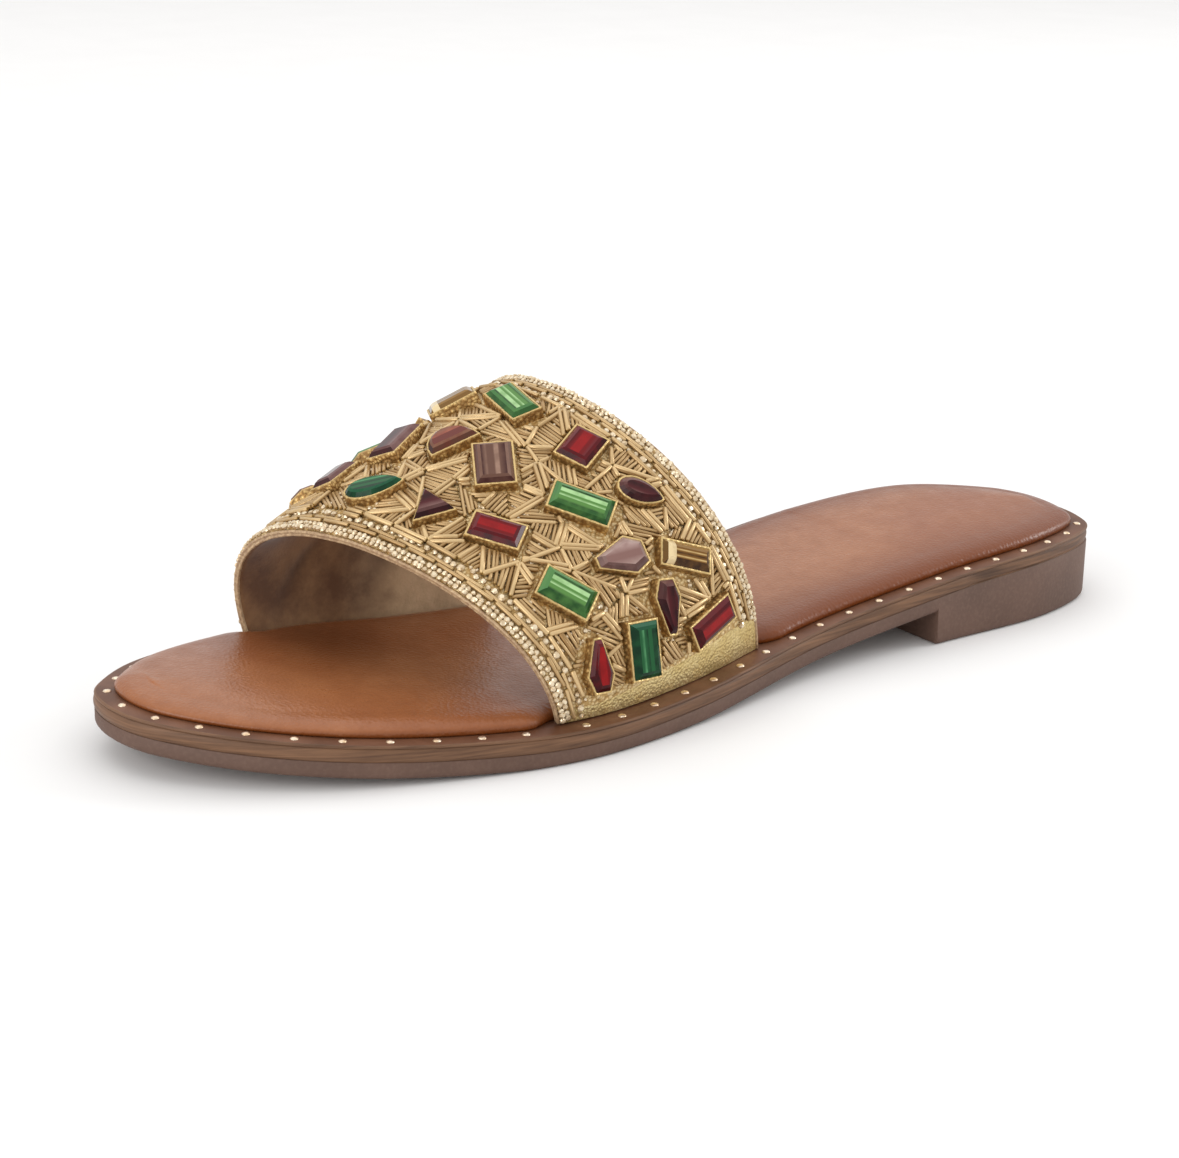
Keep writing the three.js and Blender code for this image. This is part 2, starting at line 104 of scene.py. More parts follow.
# One mesh object at the origin from points in millimetres and arrays of faces; values are per point,
# faceValues per face; merge closes seams and poles, sharpAngle splits shading at hard edges
def buildPiece(name, points, faceSets, material, values=None, faceValues=None, uv=None,
               merge=False, sharpAngle=None, flat=False):
    mesh = bpy.data.meshes.new(name)
    corners = np.concatenate([faces.ravel() for faces in faceSets]).astype(np.int32)
    sizes = np.concatenate([np.full(len(faces), faces.shape[1]) for faces in faceSets])
    mesh.vertices.add(len(points))
    mesh.vertices.foreach_set("co", (np.asarray(points) * metresPerMm).astype(np.float32).ravel())
    mesh.loops.add(len(corners))
    mesh.loops.foreach_set("vertex_index", corners)
    mesh.polygons.add(len(sizes))
    mesh.polygons.foreach_set("loop_start", (np.cumsum(sizes) - sizes).astype(np.int32))
    mesh.polygons.foreach_set("use_smooth", np.full(len(sizes), not flat))
    mesh.materials.append(material)
    mesh.update(calc_edges=True)
    for domain, layers in (("POINT", values or {}), ("FACE", faceValues or {})):
        for key, value in layers.items():
            layer = mesh.attributes.new(key, "FLOAT", domain)
            layer.data.foreach_set("value", np.asarray(value, np.float32).ravel())
    if uv is not None:
        layer = mesh.uv_layers.new(name="UVMap")
        layer.data.foreach_set("uv", np.asarray(uv, np.float32)[corners].ravel())
    mesh.validate()
    piece = bpy.data.objects.new(name, mesh)
    bpy.context.scene.collection.objects.link(piece)
    if merge:
        work = bmesh.new()
        work.from_mesh(mesh)
        bmesh.ops.remove_doubles(work, verts=work.verts, dist=mergeDistance)
        bmesh.ops.recalc_face_normals(work, faces=work.faces)
        work.to_mesh(mesh)
        work.free()
    if sharpAngle is not None:
        mesh.set_sharp_from_angle(angle=math.radians(sharpAngle))
    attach(piece, "root")
    print(name, len(mesh.vertices), "points", len(mesh.polygons), "faces")
    return piece


# Quads of a grid of points stored row after row, facing the way that next column x next row points
def gridFaces(rows, columns, wrapRows=False, wrapColumns=False):
    row = np.arange(rows if wrapRows else rows - 1)[:, None]
    column = np.arange(columns if wrapColumns else columns - 1)[None, :]
    nextRow, nextColumn = (row + 1) % rows, (column + 1) % columns
    quad = [row * columns + column, row * columns + nextColumn,
            nextRow * columns + nextColumn, nextRow * columns + column]
    return np.stack(np.broadcast_arrays(*quad), -1).reshape(-1, 4)


# Faces of a stack of closed rings stored ring after ring: the walls, the first ring and the last
def stackFaces(rings, count):
    ring = np.arange(count)[None]
    return [gridFaces(rings, count, wrapColumns=True), ring[:, ::-1], (rings - 1) * count + ring]


# Face arrays of one small shape, repeated for a number of copies of its points
def repeatFaces(faceSets, pointCount, copies):
    shift = pointCount * np.arange(copies)[:, None, None]
    return [(faces[None] + shift).reshape(-1, faces.shape[1]) for faces in faceSets]


# Distance along a line of points from its first point, by adding up its steps
def arcLength(points):
    return np.concatenate([[0], np.cumsum(np.linalg.norm(np.diff(points, axis=0), axis=1))])


# Even angles round a circle
def evenAngles(count):
    return np.linspace(0, 2 * np.pi, count, endpoint=False)


# Smooth step from 0 to 1 between two values: three times the square less twice the cube
def ease(value, low, high):
    share = np.clip((value - low) / (high - low), 0, 1)
    return share * share * (3 - 2 * share)


# Vectors divided by their lengths
def unit(vectors):
    return vectors / np.linalg.norm(vectors, axis=-1, keepdims=True)


# Sole: distance along the foot from the heel, then the width to the lateral and medial side
sole = {
    "length": 255, "toeTipAcross": -3.2,
    "outline": np.array([
        (1.5, 11.1, 8.0), (6, 19.1, 16.2), (25, 26.8, 31.0), (60, 29.4, 35.0), (100, 32.4, 32.0),
        (140, 42.3, 34.0), (170, 46.6, 39.0), (195, 43.2, 42.6), (220, 35.2, 36.8), (238, 24.4, 28.2),
        (249, 13.3, 18.2), (253.4, 6.0, 12.0)]),
    "topAtBall": 6.85, "heelRise": 10.7, "ramp": (15, 165), "toeSpring": 6.1, "toeSpringStart": 170,
    "springPower": 1.6, "curveSteps": 60, "stations": 150, "breastSteps": (1, 0.75, 0.45, 0.2),
    "breastClear": 2, "weltHeight": 3.4, "ply": 3.45, "ballFlat": 0.35, "heelBreast": 62.7,
    "breastRound": 0.9, "breastDraft": 0.15, "pieceGap": 0.3,
}


# Height of the welt's top: a half cosine ramp from ball to heel, and a power curve up to the toe
def topHeight(along):
    ramp = np.clip((along - sole["ramp"][0]) / (sole["ramp"][1] - sole["ramp"][0]), 0, 1)
    lift = np.clip(along - sole["toeSpringStart"], 0, None) / (sole["length"] - sole["toeSpringStart"])
    return (sole["topAtBall"] + sole["heelRise"] * (0.5 + 0.5 * np.cos(np.pi * ramp))
            + sole["toeSpring"] * lift ** sole["springPower"])


# Height of the tread: floor under the heel with a quarter round at the breast, else below the welt
def treadHeight(along):
    arch = np.maximum(0, topHeight(along) - sole["weltHeight"] - sole["ply"] - sole["ballFlat"])
    reach = sole["breastRound"]
    past = np.clip(along - sole["heelBreast"] + reach, 0, reach)
    block = reach - np.sqrt(reach ** 2 - past ** 2)
    return np.where(along < sole["heelBreast"], block, arch)


# Closed centripetal curve through knots: a cubic for each span, with end slopes from the knots on
# either side weighted by the square root of their distance
def closedCurve(knots, perSpan):
    before, start, end, after = (np.roll(knots, shift, 0) for shift in (1, 0, -1, -2))
    d0, d1, d2 = (np.sum((a - b) ** 2, 1, keepdims=True) ** 0.25
                  for a, b in ((before, start), (start, end), (end, after)))
    slopeIn = ((start - before) / d0 - (end - before) / (d0 + d1) + (end - start) / d1) * d1
    slopeOut = ((end - start) / d1 - (after - start) / (d1 + d2) + (after - end) / d2) * d1
    t = np.linspace(0, 1, perSpan, endpoint=False)[None, :, None]
    bend = (-3 * start + 3 * end - 2 * slopeIn - slopeOut)[:, None]
    twist = (2 * start - 2 * end + slopeIn + slopeOut)[:, None]
    return (start[:, None] + slopeIn[:, None] * t + bend * t ** 2 + twist * t ** 3).reshape(-1, 2)


medialKnots = sole["outline"][:, [0, 2]] * (1, -1)
lateralKnots = sole["outline"][::-1, [0, 1]]
toeTip = (sole["length"], sole["toeTipAcross"])
outlineKnots = np.vstack([[(0, 0)], medialKnots, [toeTip], lateralKnots])
outlineTrace = closedCurve(outlineKnots, sole["curveSteps"])
toeIndex = int(outlineTrace[:, 0].argmax())
medialTrace = outlineTrace[:toeIndex + 1]
lateralTrace = np.vstack([outlineTrace[toeIndex:], outlineTrace[:1]])[::-1]
middleAcross = (outlineTrace[:, 1].max() + outlineTrace[:, 1].min()) / 2


# Distance across the foot of one side's outline, read between its points
def acrossAt(trace, along):
    return np.interp(along, trace[:, 0], trace[:, 1])


# From foot coordinates to the part's frame
def place(along, across, height):
    return np.stack(np.broadcast_arrays(across - middleAcross, sole["length"] / 2 - along, height), -1)


# Stations close up towards heel and toe by a cosine, with a tight group round the heel breast
def ringStations():
    steps = np.arange(1, sole["stations"]) / sole["stations"]
    spread = sole["length"] / 2 * (1 - np.cos(np.pi * steps))
    breast, draft = sole["heelBreast"], sole["breastDraft"]
    rounded = sole["breastRound"] * np.array(sole["breastSteps"])
    group = breast - np.concatenate([rounded, [draft / 3, -draft]])
    return np.sort(np.concatenate([spread[np.abs(spread - breast) > sole["breastClear"]], group]))


stations = ringStations()
half = len(stations)
ringAlong = np.concatenate([[0], stations, [outlineTrace[toeIndex, 0]], stations[::-1]])
ringAcross = np.concatenate([[0], acrossAt(medialTrace, stations), [outlineTrace[toeIndex, 1]],
                             acrossAt(lateralTrace, stations)[::-1]])
ringSize = len(ringAlong)
ringNormal = np.stack([np.roll(ringAcross, -1) - np.roll(ringAcross, 1),
                       np.roll(ringAlong, 1) - np.roll(ringAlong, -1)], -1)
ringNormal = unit(ringNormal)


# A ring of points at an inset from the outline, each at a height
def insetRing(inset, height):
    return place(ringAlong - inset * ringNormal[:, 0], ringAcross - inset * ringNormal[:, 1], height)


# Quads from side to side across one ring, with a triangle at each end
def ladderFaces(start, upward):
    i = np.arange(1, half)
    rungs = np.stack([i, i + 1, ringSize - i - 1, ringSize - i], -1)
    ends = np.array([[0, 1, ringSize - 1], [half, half + 1, half + 2]])
    if not upward:
        rungs, ends = rungs[:, ::-1], ends[:, ::-1]
    return [rungs + start, ends + start]


# Moulded rubber: matte brown with a faint cloudy bloom and the fine grain of the mould
def mouldedRubber():
    material, tree, at = startMaterial("mouldedRubber", rough=0.62, ior=1.5, specular=0.36)
    bloom = addNode(tree, "TexNoise", {"Scale": patternScale(14), "Detail": 6, "Vector": at})
    speck = addNode(tree, "TexNoise", {"Scale": patternScale(0.9), "Detail": 3, "Vector": at})
    base = blend(tree, bloom, "#5a4338", "#644b3f", (0.35, 0.68))
    dusty = blend(tree, speck, base, "#8b7060", (0.45, 0.8), 0.18)
    return finishMaterial(material, dusty, (speck, 0.16, 0.3))


outsole = {"sideInset": 0.2, "roundInset": 1.3, "roundRise": 1.4, "roundSteps": 6, "shoulder": 0.18,
           "topInset": 0.34}


# Outsole: rings of the outline; the lower edge is a quarter ellipse, the top edge a small chamfer
def makeOutsole():
    side = outsole["sideInset"]
    tread = treadHeight(ringAlong)
    top = topHeight(ringAlong) - sole["weltHeight"] - sole["pieceGap"] / 2
    rings = []
    for turn in np.linspace(0, np.pi / 2, outsole["roundSteps"] + 1):
        inset = side + outsole["roundInset"] * (1 - np.sin(turn))
        rings.append(insetRing(inset, tread + outsole["roundRise"] * (1 - np.cos(turn))))
    rings.append(insetRing(side, top - outsole["shoulder"]))
    rings.append(insetRing(outsole["topInset"], top))
    faceSets = [gridFaces(len(rings), ringSize, wrapColumns=True)]
    faceSets += ladderFaces(0, False) + ladderFaces((len(rings) - 1) * ringSize, True)
    piece = buildPiece("outsoleUnit", np.vstack(rings), faceSets, mouldedRubber(),
                       sharpAngle=40)
    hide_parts("outsole")


# Welt of pressed leatherboard: umber top face, a dark line of painted shade in the groove under the lip,
# then a rib burnished golden by brushing; painted shade also darkens the joins to the outsole and the footbed
def burnishedWelt():
    material, tree, at = startMaterial("burnishedWelt", rough=0.5, ior=1.48, specular=0.3)
    level, line = (addNode(tree, "Attribute", output="Fac", attribute_name=key) for key in ("level", "line"))
    # brush streaks about 17 mm long and 0.7 mm high
    stretch = addNode(tree, "Mapping", {"Scale": (60, 60, 1500), "Vector": at})
    streak = addNode(tree, "TexNoise", {"Scale": 1, "Detail": 5, "Roughness": 0.6, "Vector": stretch})
    blot = addNode(tree, "TexNoise", {"Scale": patternScale(9), "Detail": 5, "Vector": at})
    rib = blend(tree, streak, "#513828", "#7d5b42", (0.32, 0.7))
    face = blend(tree, blot, "#5e3b27", "#754e38", (0.4, 0.7))
    mixed = blend(tree, level, rib, face, (0.9, 1.0))
    # line paints shade into the groove and along the joins, in this dark brown
    return finishMaterial(material, blend(tree, line, mixed, "#2b1c13"), (streak, 0.25, 0.2))


# Section points are inset and drop from the top of the rim; the shade values are shares of the dark colour
# painted as shade in the lip groove and along the joins to the outsole and the footbed
welt = {"innerInset": 9, "ribMiddle": 2.08, "ribHalf": 1.28, "ribBulge": 0.32, "ribSteps": 9, "ribPower": 2.2,
        "joint": 52.9, "jointStep": 0.28, "smudge": 0.45, "smudgeBefore": 6, "smudgeReach": 5,
        "foot": (0.4, 3.52), "footShade": (0.3, 0.05), "grooveShade": (0.25, 0.1), "footbedShade": (0.0, 0.15),
        "lip": ((0.42, 0.72), (0.36, 0.64), (0.22, 0.54), (0.18, 0.36), (0.24, 0.15), (0.4, 0.04), (0.62, 0),
                (2.8, 0), (4.4, 0), (5.2, 0))}


# Welt: a section carried round the outline; the rib is a power curve bulging to the outline, above it
# a groove and a rounded lip, then the flat top; level marks the top face, and line the painted shade in the
# groove and along the joins, with a dark smudge behind the joint on the lateral side
def makeWelt():
    t = np.linspace(1, -1, welt["ribSteps"])
    ribInset = welt["ribBulge"] * np.abs(t) ** welt["ribPower"]
    rib = np.stack([ribInset, welt["ribMiddle"] + welt["ribHalf"] * t], -1)
    inner = [(welt["innerInset"], 0), (welt["innerInset"], sole["weltHeight"] - sole["pieceGap"] / 2)]
    section = np.vstack([[welt["foot"]], rib, welt["lip"], inner])
    lipStart = 1 + welt["ribSteps"]
    isRib = np.zeros((len(section), 1))
    isRib[1:lipStart] = 1
    # painted shade at the foot of the rib, in the groove under the lip and on the top under the footbed's
    # edge
    seamShadeOf = np.zeros((len(section), 1))
    seamShadeOf[:2, 0] = welt["footShade"]
    seamShadeOf[lipStart:lipStart + 2, 0] = welt["grooveShade"]
    seamShadeOf[-4:-2, 0] = welt["footbedShade"]
    lateralRear = (ringAcross > 0) & (ringAlong < welt["joint"])
    inset = section[:, :1] + welt["jointStep"] * lateralRear * isRib
    rings = insetRing(inset, topHeight(ringAlong) - section[:, 1:])
    smudge = np.exp(-((ringAlong - welt["joint"] + welt["smudgeBefore"]) / welt["smudgeReach"]) ** 2)
    line = np.clip(seamShadeOf + welt["smudge"] * isRib * smudge * lateralRear, 0, 1)
    level = np.broadcast_to(section[:, 1:] == 0, line.shape)
    faceSets = [gridFaces(len(rings), ringSize, wrapRows=True, wrapColumns=True)]
    piece = buildPiece("studdedWelt", rings.reshape(-1, 3), faceSets, burnishedWelt(),
                       values={"level": level, "line": line}, sharpAngle=50)
    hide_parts("welt")


# Pale gilt brass, stamped and tumbled: small soft highlights, a little tarnished in patches
def giltBrass():
    material, tree, at = startMaterial("giltBrass", metal=0.85, rough=0.3)
    tarnish = addNode(tree, "TexNoise", {"Scale": patternScale(1.2), "Detail": 3, "Vector": at})
    return finishMaterial(material, blend(tree, tarnish, "#d8bb98", "#f6e6d0", (0.35, 0.65)))


# Stud rows: arc positions on the line inset from the outline, from the heel round the medial side
studs = {"inset": 2.8, "radius": 0.94, "height": 0.34, "sides": 10, "frontLast": 369.8, "frontPitch": 9.45,
         "frontCount": 16, "rearFirst": 383.7, "rearPitch": 9.31, "rearCount": 42,
         "ringRise": (-0.3, 0.0, 0.55, 0.9), "ringReach": (1.0, 1.0, 0.8, 0.42)}


# Studs: low domes, a quarter ellipse turned about the vertical, at even arc steps in two rows
def makeStuds():
    line = insetRing(studs["inset"], topHeight(ringAlong))
    looped = np.vstack([line, line[:1]])
    arc = arcLength(looped)
    front = studs["frontLast"] - studs["frontPitch"] * np.arange(studs["frontCount"])
    rear = studs["rearFirst"] + studs["rearPitch"] * np.arange(studs["rearCount"])
    wanted = np.concatenate([front, rear]) % arc[-1]
    centre = np.stack([np.interp(wanted, arc, looped[:, k]) for k in range(3)], -1)
    sides, rings = studs["sides"], len(studs["ringRise"])
    spin = evenAngles(sides)
    reach = studs["radius"] * np.array(studs["ringReach"])[:, None]
    rise = studs["height"] * np.array(studs["ringRise"])[:, None]
    ring = np.stack(np.broadcast_arrays(reach * np.cos(spin), reach * np.sin(spin), rise), -1)
    shape = np.vstack([ring.reshape(-1, 3), [(0, 0, studs["height"])]])
    walls, base, last = stackFaces(rings, sides)
    cap = np.stack([last[0], np.roll(last[0], -1), np.full(sides, rings * sides)], -1)
    faceSets = repeatFaces([walls, cap, base], len(shape), len(centre))
    points = (centre[:, None] + shape[None]).reshape(-1, 3)
    buildPiece("weltStuds", points, faceSets, giltBrass())


# Aniline calf, burnished by hand: chestnut, darker over the rolled edge from burnish and painted shade, and
# with a painted shadow of the band on the forefoot; fine pores
def chestnutLeather():
    material, tree, at = startMaterial("chestnutLeather", ior=1.45, specular=0.48)
    edge, bandShadow = (addNode(tree, "Attribute", output="Fac", attribute_name=key) for key in ("edge", "bandShadow"))
    cloud = addNode(tree, "TexNoise", {"Scale": patternScale(38), "Detail": 4, "Vector": at})
    rub = addNode(tree, "TexNoise", {"Scale": patternScale(5), "Detail": 8, "Roughness": 0.74, "Vector": at})
    crown = blend(tree, cloud, "#90532e", "#a46942", (0.35, 0.65))
    mottled = blend(tree, rub, crown, "#7a431c", (0.38, 0.72), 0.4)
    # edge darkens the rolled edge and the crown's margin: part burnish, part painted shade
    burnishedAndShaded = blend(tree, edge, mottled, "#70360c")
    shine = addNode(tree, "MapRange", {0: rub, 1: 0.3, 2: 0.7, 3: 0.26, 4: 0.4})
    tree.links.new(shine, tree.nodes["Principled BSDF"].inputs["Roughness"])
    # pores are about 0.3 mm apart on the real hide, drawn at 0.8 mm to show in the render
    pores = addNode(tree, "TexVoronoi", {"Scale": patternScale(0.8), "Vector": at})
    grain = addNode(tree, "TexNoise", {"Scale": patternScale(0.7), "Detail": 4, "Vector": at})
    # a painted shadow of the band darkens the forefoot towards this dark brown
    base = blend(tree, bandShadow, burnishedAndShaded, "#45230e")
    return finishMaterial(material, base, (pores, 0.36, 0.2), (grain, 0.34, 0.2))


insole = {"inset": 4.3, "side": 0.9, "rise": 3.4, "roll": 6.0, "rollSteps": 14, "crown": 0.9,
          "crownReach": 16, "columns": 36, "plugInset": 9.3, "footInset": 8.0, "footFade": 8,
          "toeFrom": 200, "toeTo": 245, "toeFlat": 0.3, "toeBlend": 36, "burnishShadeFade": (110, 190),
          "bandShadowAt": (199, -16), "bandShadowReach": (17, 22), "bandShadowDepth": 0.62, "tuckShade": 0.9, "tuckFade": 2.5,
          "plugDrop": 3.25, "lowRows": ((0.15, 0.1), (0.05, 0.45)), "rollShade": (1.3, 0.55), "sideRows": 3,
          "burnishAndShade": (1.0, 0.25), "crownBurnishShade": 0.75}


# Share by which the rim is drawn in: smooth steps round where each side of the band stands
def footRoom(along, across):
    low, high = (np.where(across > 0, band[edge]["lateralFoot"], band[edge]["medialFoot"])
                 for edge in ("rear", "front"))
    return ease(np.minimum(along - low, high - along), -insole["footFade"], 0)


# Footbed: a plug inside the welt, a quarter ellipse that rolls over the rim, and a crown that rises as
# a parabola from the rim over a set reach, laid station by station from side to side
def makeInsole():
    top = topHeight(ringAlong)
    halfBlend = insole["toeBlend"] / 2
    lateralToe = ease(ringAcross - sole["toeTipAcross"], -halfBlend, halfBlend)
    flatter = 1 - insole["toeFlat"] * ease(ringAlong, insole["toeFrom"], insole["toeTo"]) * lateralToe
    drawn = (insole["footInset"] - insole["inset"]) * footRoom(ringAlong, ringAcross)
    plugRises = (-insole["plugDrop"], insole["lowRows"][0][1])
    rings = [insetRing(insole["plugInset"], top + rise) for rise in plugRises]
    rings += [insetRing(insole["inset"] + past + drawn, top + rise) for past, rise in insole["lowRows"]]
    for turn in np.linspace(0, np.pi / 2, insole["rollSteps"] + 1):
        inset = insole["inset"] + insole["roll"] * (1 - np.cos(turn))
        rise = insole["side"] + (insole["rise"] - insole["side"]) * np.sin(turn)
        rings.append(insetRing(inset + drawn, top + rise * flatter))
    rim = rings[-1]
    share = np.linspace(0, 1, insole["columns"] + 1)[None, :, None]
    medial, lateral = rim[1:half + 1, None], rim[:half + 1:-1, None]
    across = medial * (1 - share) + lateral * share
    width = np.linalg.norm(lateral - medial, axis=2)
    near = np.clip(np.minimum(share[..., 0], 1 - share[..., 0]) * width / insole["crownReach"], 0, 1)
    across[..., 2] += insole["crown"] * flatter[1:half + 1, None] * (1 - (1 - near) ** 2)
    topStart = len(rings) * ringSize
    rows, columns = across.shape[:2]
    heel = np.arange(columns - 1) + topStart
    toe = heel + (rows - 1) * columns
    heelTip, toeTop = topStart - ringSize, topStart - ringSize + half + 1
    faceSets = [gridFaces(len(rings), ringSize, wrapColumns=True),
                gridFaces(rows, columns)[:, ::-1] + topStart,
                np.stack([np.full(columns - 1, heelTip), heel, heel + 1], -1),
                np.stack([toe + 1, toe, np.full(columns - 1, toeTop)], -1)]
    faceSets += ladderFaces(0, False)
    # edge values: burnish and painted shade over the roll, fading up it and towards the toe, painted shade at
    # its tucked foot, and painted shade over the crown's margin
    shade, shadeFall = insole["rollShade"]
    sideRows = insole["sideRows"]
    fall = np.concatenate([np.zeros(sideRows), np.linspace(0, shadeFall, len(rings) - sideRows)])
    burnishAndShade = np.interp(ringAlong, insole["burnishShadeFade"], insole["burnishAndShade"])
    crownBurnishAndShade = insole["crownBurnishShade"] * burnishAndShade[1:half + 1, None] * (1 - near) ** 2
    tuckedShade = insole["tuckShade"] * np.clip(1 - np.linspace(0, insole["tuckFade"], len(rings)), 0, 1)
    rollBurnishAndShade = np.clip(np.clip(shade - fall, 0, 1)[:, None] * burnishAndShade + tuckedShade[:, None], 0, 1)
    points = np.vstack([*rings, across.reshape(-1, 3)])
    # painted shadow of the band: a bell on the forefoot by the band's medial foot
    footPlace = np.stack([sole["length"] / 2 - points[:, 1], points[:, 0] + middleAcross], -1)
    fromBandShadow = (footPlace - insole["bandShadowAt"]) / insole["bandShadowReach"]
    bandShadow = insole["bandShadowDepth"] * np.exp(-np.sum(fromBandShadow ** 2, 1))
    piece = buildPiece("paddedFootbed", points, faceSets, chestnutLeather(), merge=True,
                       values={"edge": np.concatenate([rollBurnishAndShade.ravel(), crownBurnishAndShade.ravel()]), "bandShadow": bandShadow})
    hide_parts("insole")


# Band: one set of sizes for each edge; feet and apex along the foot, apex across and above the feet, then
# for each side the reach of the handles at foot and crown, the lean of the foot's handle inward in
# degrees, and how far the medial handle sweeps forward
band = {
    "front": {"lateralFoot": 175.8, "medialFoot": 206.6, "apexAlong": 202.3, "apexAcross": -3.5,
              "apexRise": 31.3, "lateralReach": 27.3, "lateralCrown": 7.4, "lateralLean": -9.6,
              "medialReach": 26.6, "medialCrown": 13.3, "medialLean": -12.7, "medialSweep": 7.4},
    "rear": {"lateralFoot": 116.8, "medialFoot": 148, "apexAlong": 144, "apexAcross": -15,
             "apexRise": 54.5, "lateralReach": 37.8, "lateralCrown": 20.6, "lateralLean": -13.9,
             "medialReach": 40, "medialCrown": 26, "medialLean": 4, "medialSweep": 0},
    "camber": 2.2, "footInset": 5.3, "wall": 2.2, "footSweep": 0.3, "apexSweep": 0.12, "probe": 0.002,
    "length": 63, "slopeStep": 0.5, "arcSamples": 601,
}


# The band's foot stands on the welt, inset square to the outline
def footPoint(along, trace, side):
    step = band["slopeStep"]
    slope = (acrossAt(trace, along + step) - acrossAt(trace, along - step)) / (2 * step)
    size = np.sqrt(slope ** 2 + 1)
    inset = band["footInset"]
    across = acrossAt(trace, along - side * inset * slope / size) - side * inset / size
    return along, across, topHeight(along) + sole["pieceGap"]


# Outer face of the band: two cubic curves meet level at the apex; share runs from front edge to rear
# edge, turn from the lateral foot (0) over the apex (1) to the medial foot (2)
def bandPoint(share, turn):
    share, turn = np.broadcast_arrays(np.asarray(share, float), np.asarray(turn, float))
    front, rear = band["front"], band["rear"]
    row = {key: front[key] + (rear[key] - front[key]) * share for key in front}
    uL, vL, zL = footPoint(row["lateralFoot"], lateralTrace, 1)
    uM, vM, zM = footPoint(row["medialFoot"], medialTrace, -1)
    apexZ = (zL + zM) / 2 + row["apexRise"] + band["camber"] * 4 * share * (1 - share)
    apexU, apexV = row["apexAlong"], row["apexAcross"]
    skew = band["apexSweep"] * (uM - uL)
    sweep, leanL, leanM = band["footSweep"], np.radians(row["lateralLean"]), np.radians(row["medialLean"])
    lateral = ((uL, uL + sweep * (apexU - uL), apexU - skew, apexU),
               (vL, vL - row["lateralReach"] * np.sin(leanL), apexV + row["lateralCrown"], apexV),
               (zL, zL + row["lateralReach"] * np.cos(leanL), apexZ, apexZ))
    medial = ((apexU, apexU + skew, uM + sweep * (apexU - uM) + row["medialSweep"], uM),
              (apexV, apexV - row["medialCrown"], vM + row["medialReach"] * np.sin(leanM), vM),
              (apexZ, apexZ, zM + row["medialReach"] * np.cos(leanM), zM))
    t = np.where(turn <= 1, turn, turn - 1)
    weights = ((1 - t) ** 3, 3 * (1 - t) ** 2 * t, 3 * (1 - t) * t ** 2, t ** 3)
    sides = [[sum(w * p for w, p in zip(weights, axis)) for axis in side] for side in (lateral, medial)]
    return place(*[np.where(turn <= 1, a, b) for a, b in zip(*sides)])


# Point, rearward direction, direction over the arch and outward normal, from small central differences
def bandFrame(share, turn):
    share, turn = np.broadcast_arrays(np.asarray(share, float), np.asarray(turn, float))
    probe = band["probe"]
    low = np.clip(turn - probe, 0, 2 - 2 * probe)
    rearward = (bandPoint(share + probe, turn) - bandPoint(share - probe, turn)) / (2 * probe)
    over = (bandPoint(share, low + 2 * probe) - bandPoint(share, low)) / (2 * probe)
    return bandPoint(share, turn), rearward, over, unit(np.cross(rearward, over))


# Points at a lift above the band's outer face
def onBand(share, turn, lift):
    point, rearward, over, normal = bandFrame(share, turn)
    return point + normal * np.asarray(lift)[..., None]


arcTurns = np.linspace(0, 2, band["arcSamples"])


# Turns at even steps of arc along one line of the band, between two end turns
def evenTurns(share, spacing, ends):
    arc = arcLength(bandPoint(share, arcTurns))
    low, high = np.interp(ends, arcTurns, arc)
    return np.interp(np.arange(low, high, spacing), arc, arcTurns)


# A curved plate on the band: inner and outer points of a share and turn grid at two lifts, each one
# number or an array over the grid, and its faces with a rim round both
def platePoints(share, turn, lowLift, highLift):
    point, rearward, over, normal = bandFrame(share, turn)
    rows, columns = point.shape[:2]
    count = rows * columns
    lifts = (np.broadcast_to(lift, (rows, columns))[..., None] for lift in (lowLift, highLift))
    sides = [point + normal * lift for lift in lifts]
    grid = gridFaces(rows, columns)
    loop = np.concatenate([np.arange(rows - 1) * columns, (rows - 1) * columns + np.arange(columns - 1),
                           np.arange(rows - 1, 0, -1) * columns + columns - 1, np.arange(columns - 1, 0, -1)])
    ahead = np.roll(loop, -1)
    rim = np.stack([loop, ahead, ahead + count, loop + count], -1)
    return np.concatenate(sides).reshape(-1, 3), [grid, grid[:, ::-1] + count, rim]


# Foil leather: gilt film on pebbled hide; the film stretches over each pebble and dulls in the creases
def foilLeather():
    material, tree, at = startMaterial("foilLeather", metal=0.75, rough=0.38)
    pebble = addNode(tree, "TexVoronoi", {"Scale": patternScale(0.62), "Vector": at})
    cloud = addNode(tree, "TexNoise", {"Scale": patternScale(6), "Detail": 5, "Vector": at})
    tone = blend(tree, cloud, "#d6bd80", "#eddba6", (0.35, 0.7))
    creased = blend(tree, pebble, tone, "#b89e62", (0.3, 0.75), 0.5)
    return finishMaterial(material, creased, (pebble, -0.55, 0.3))


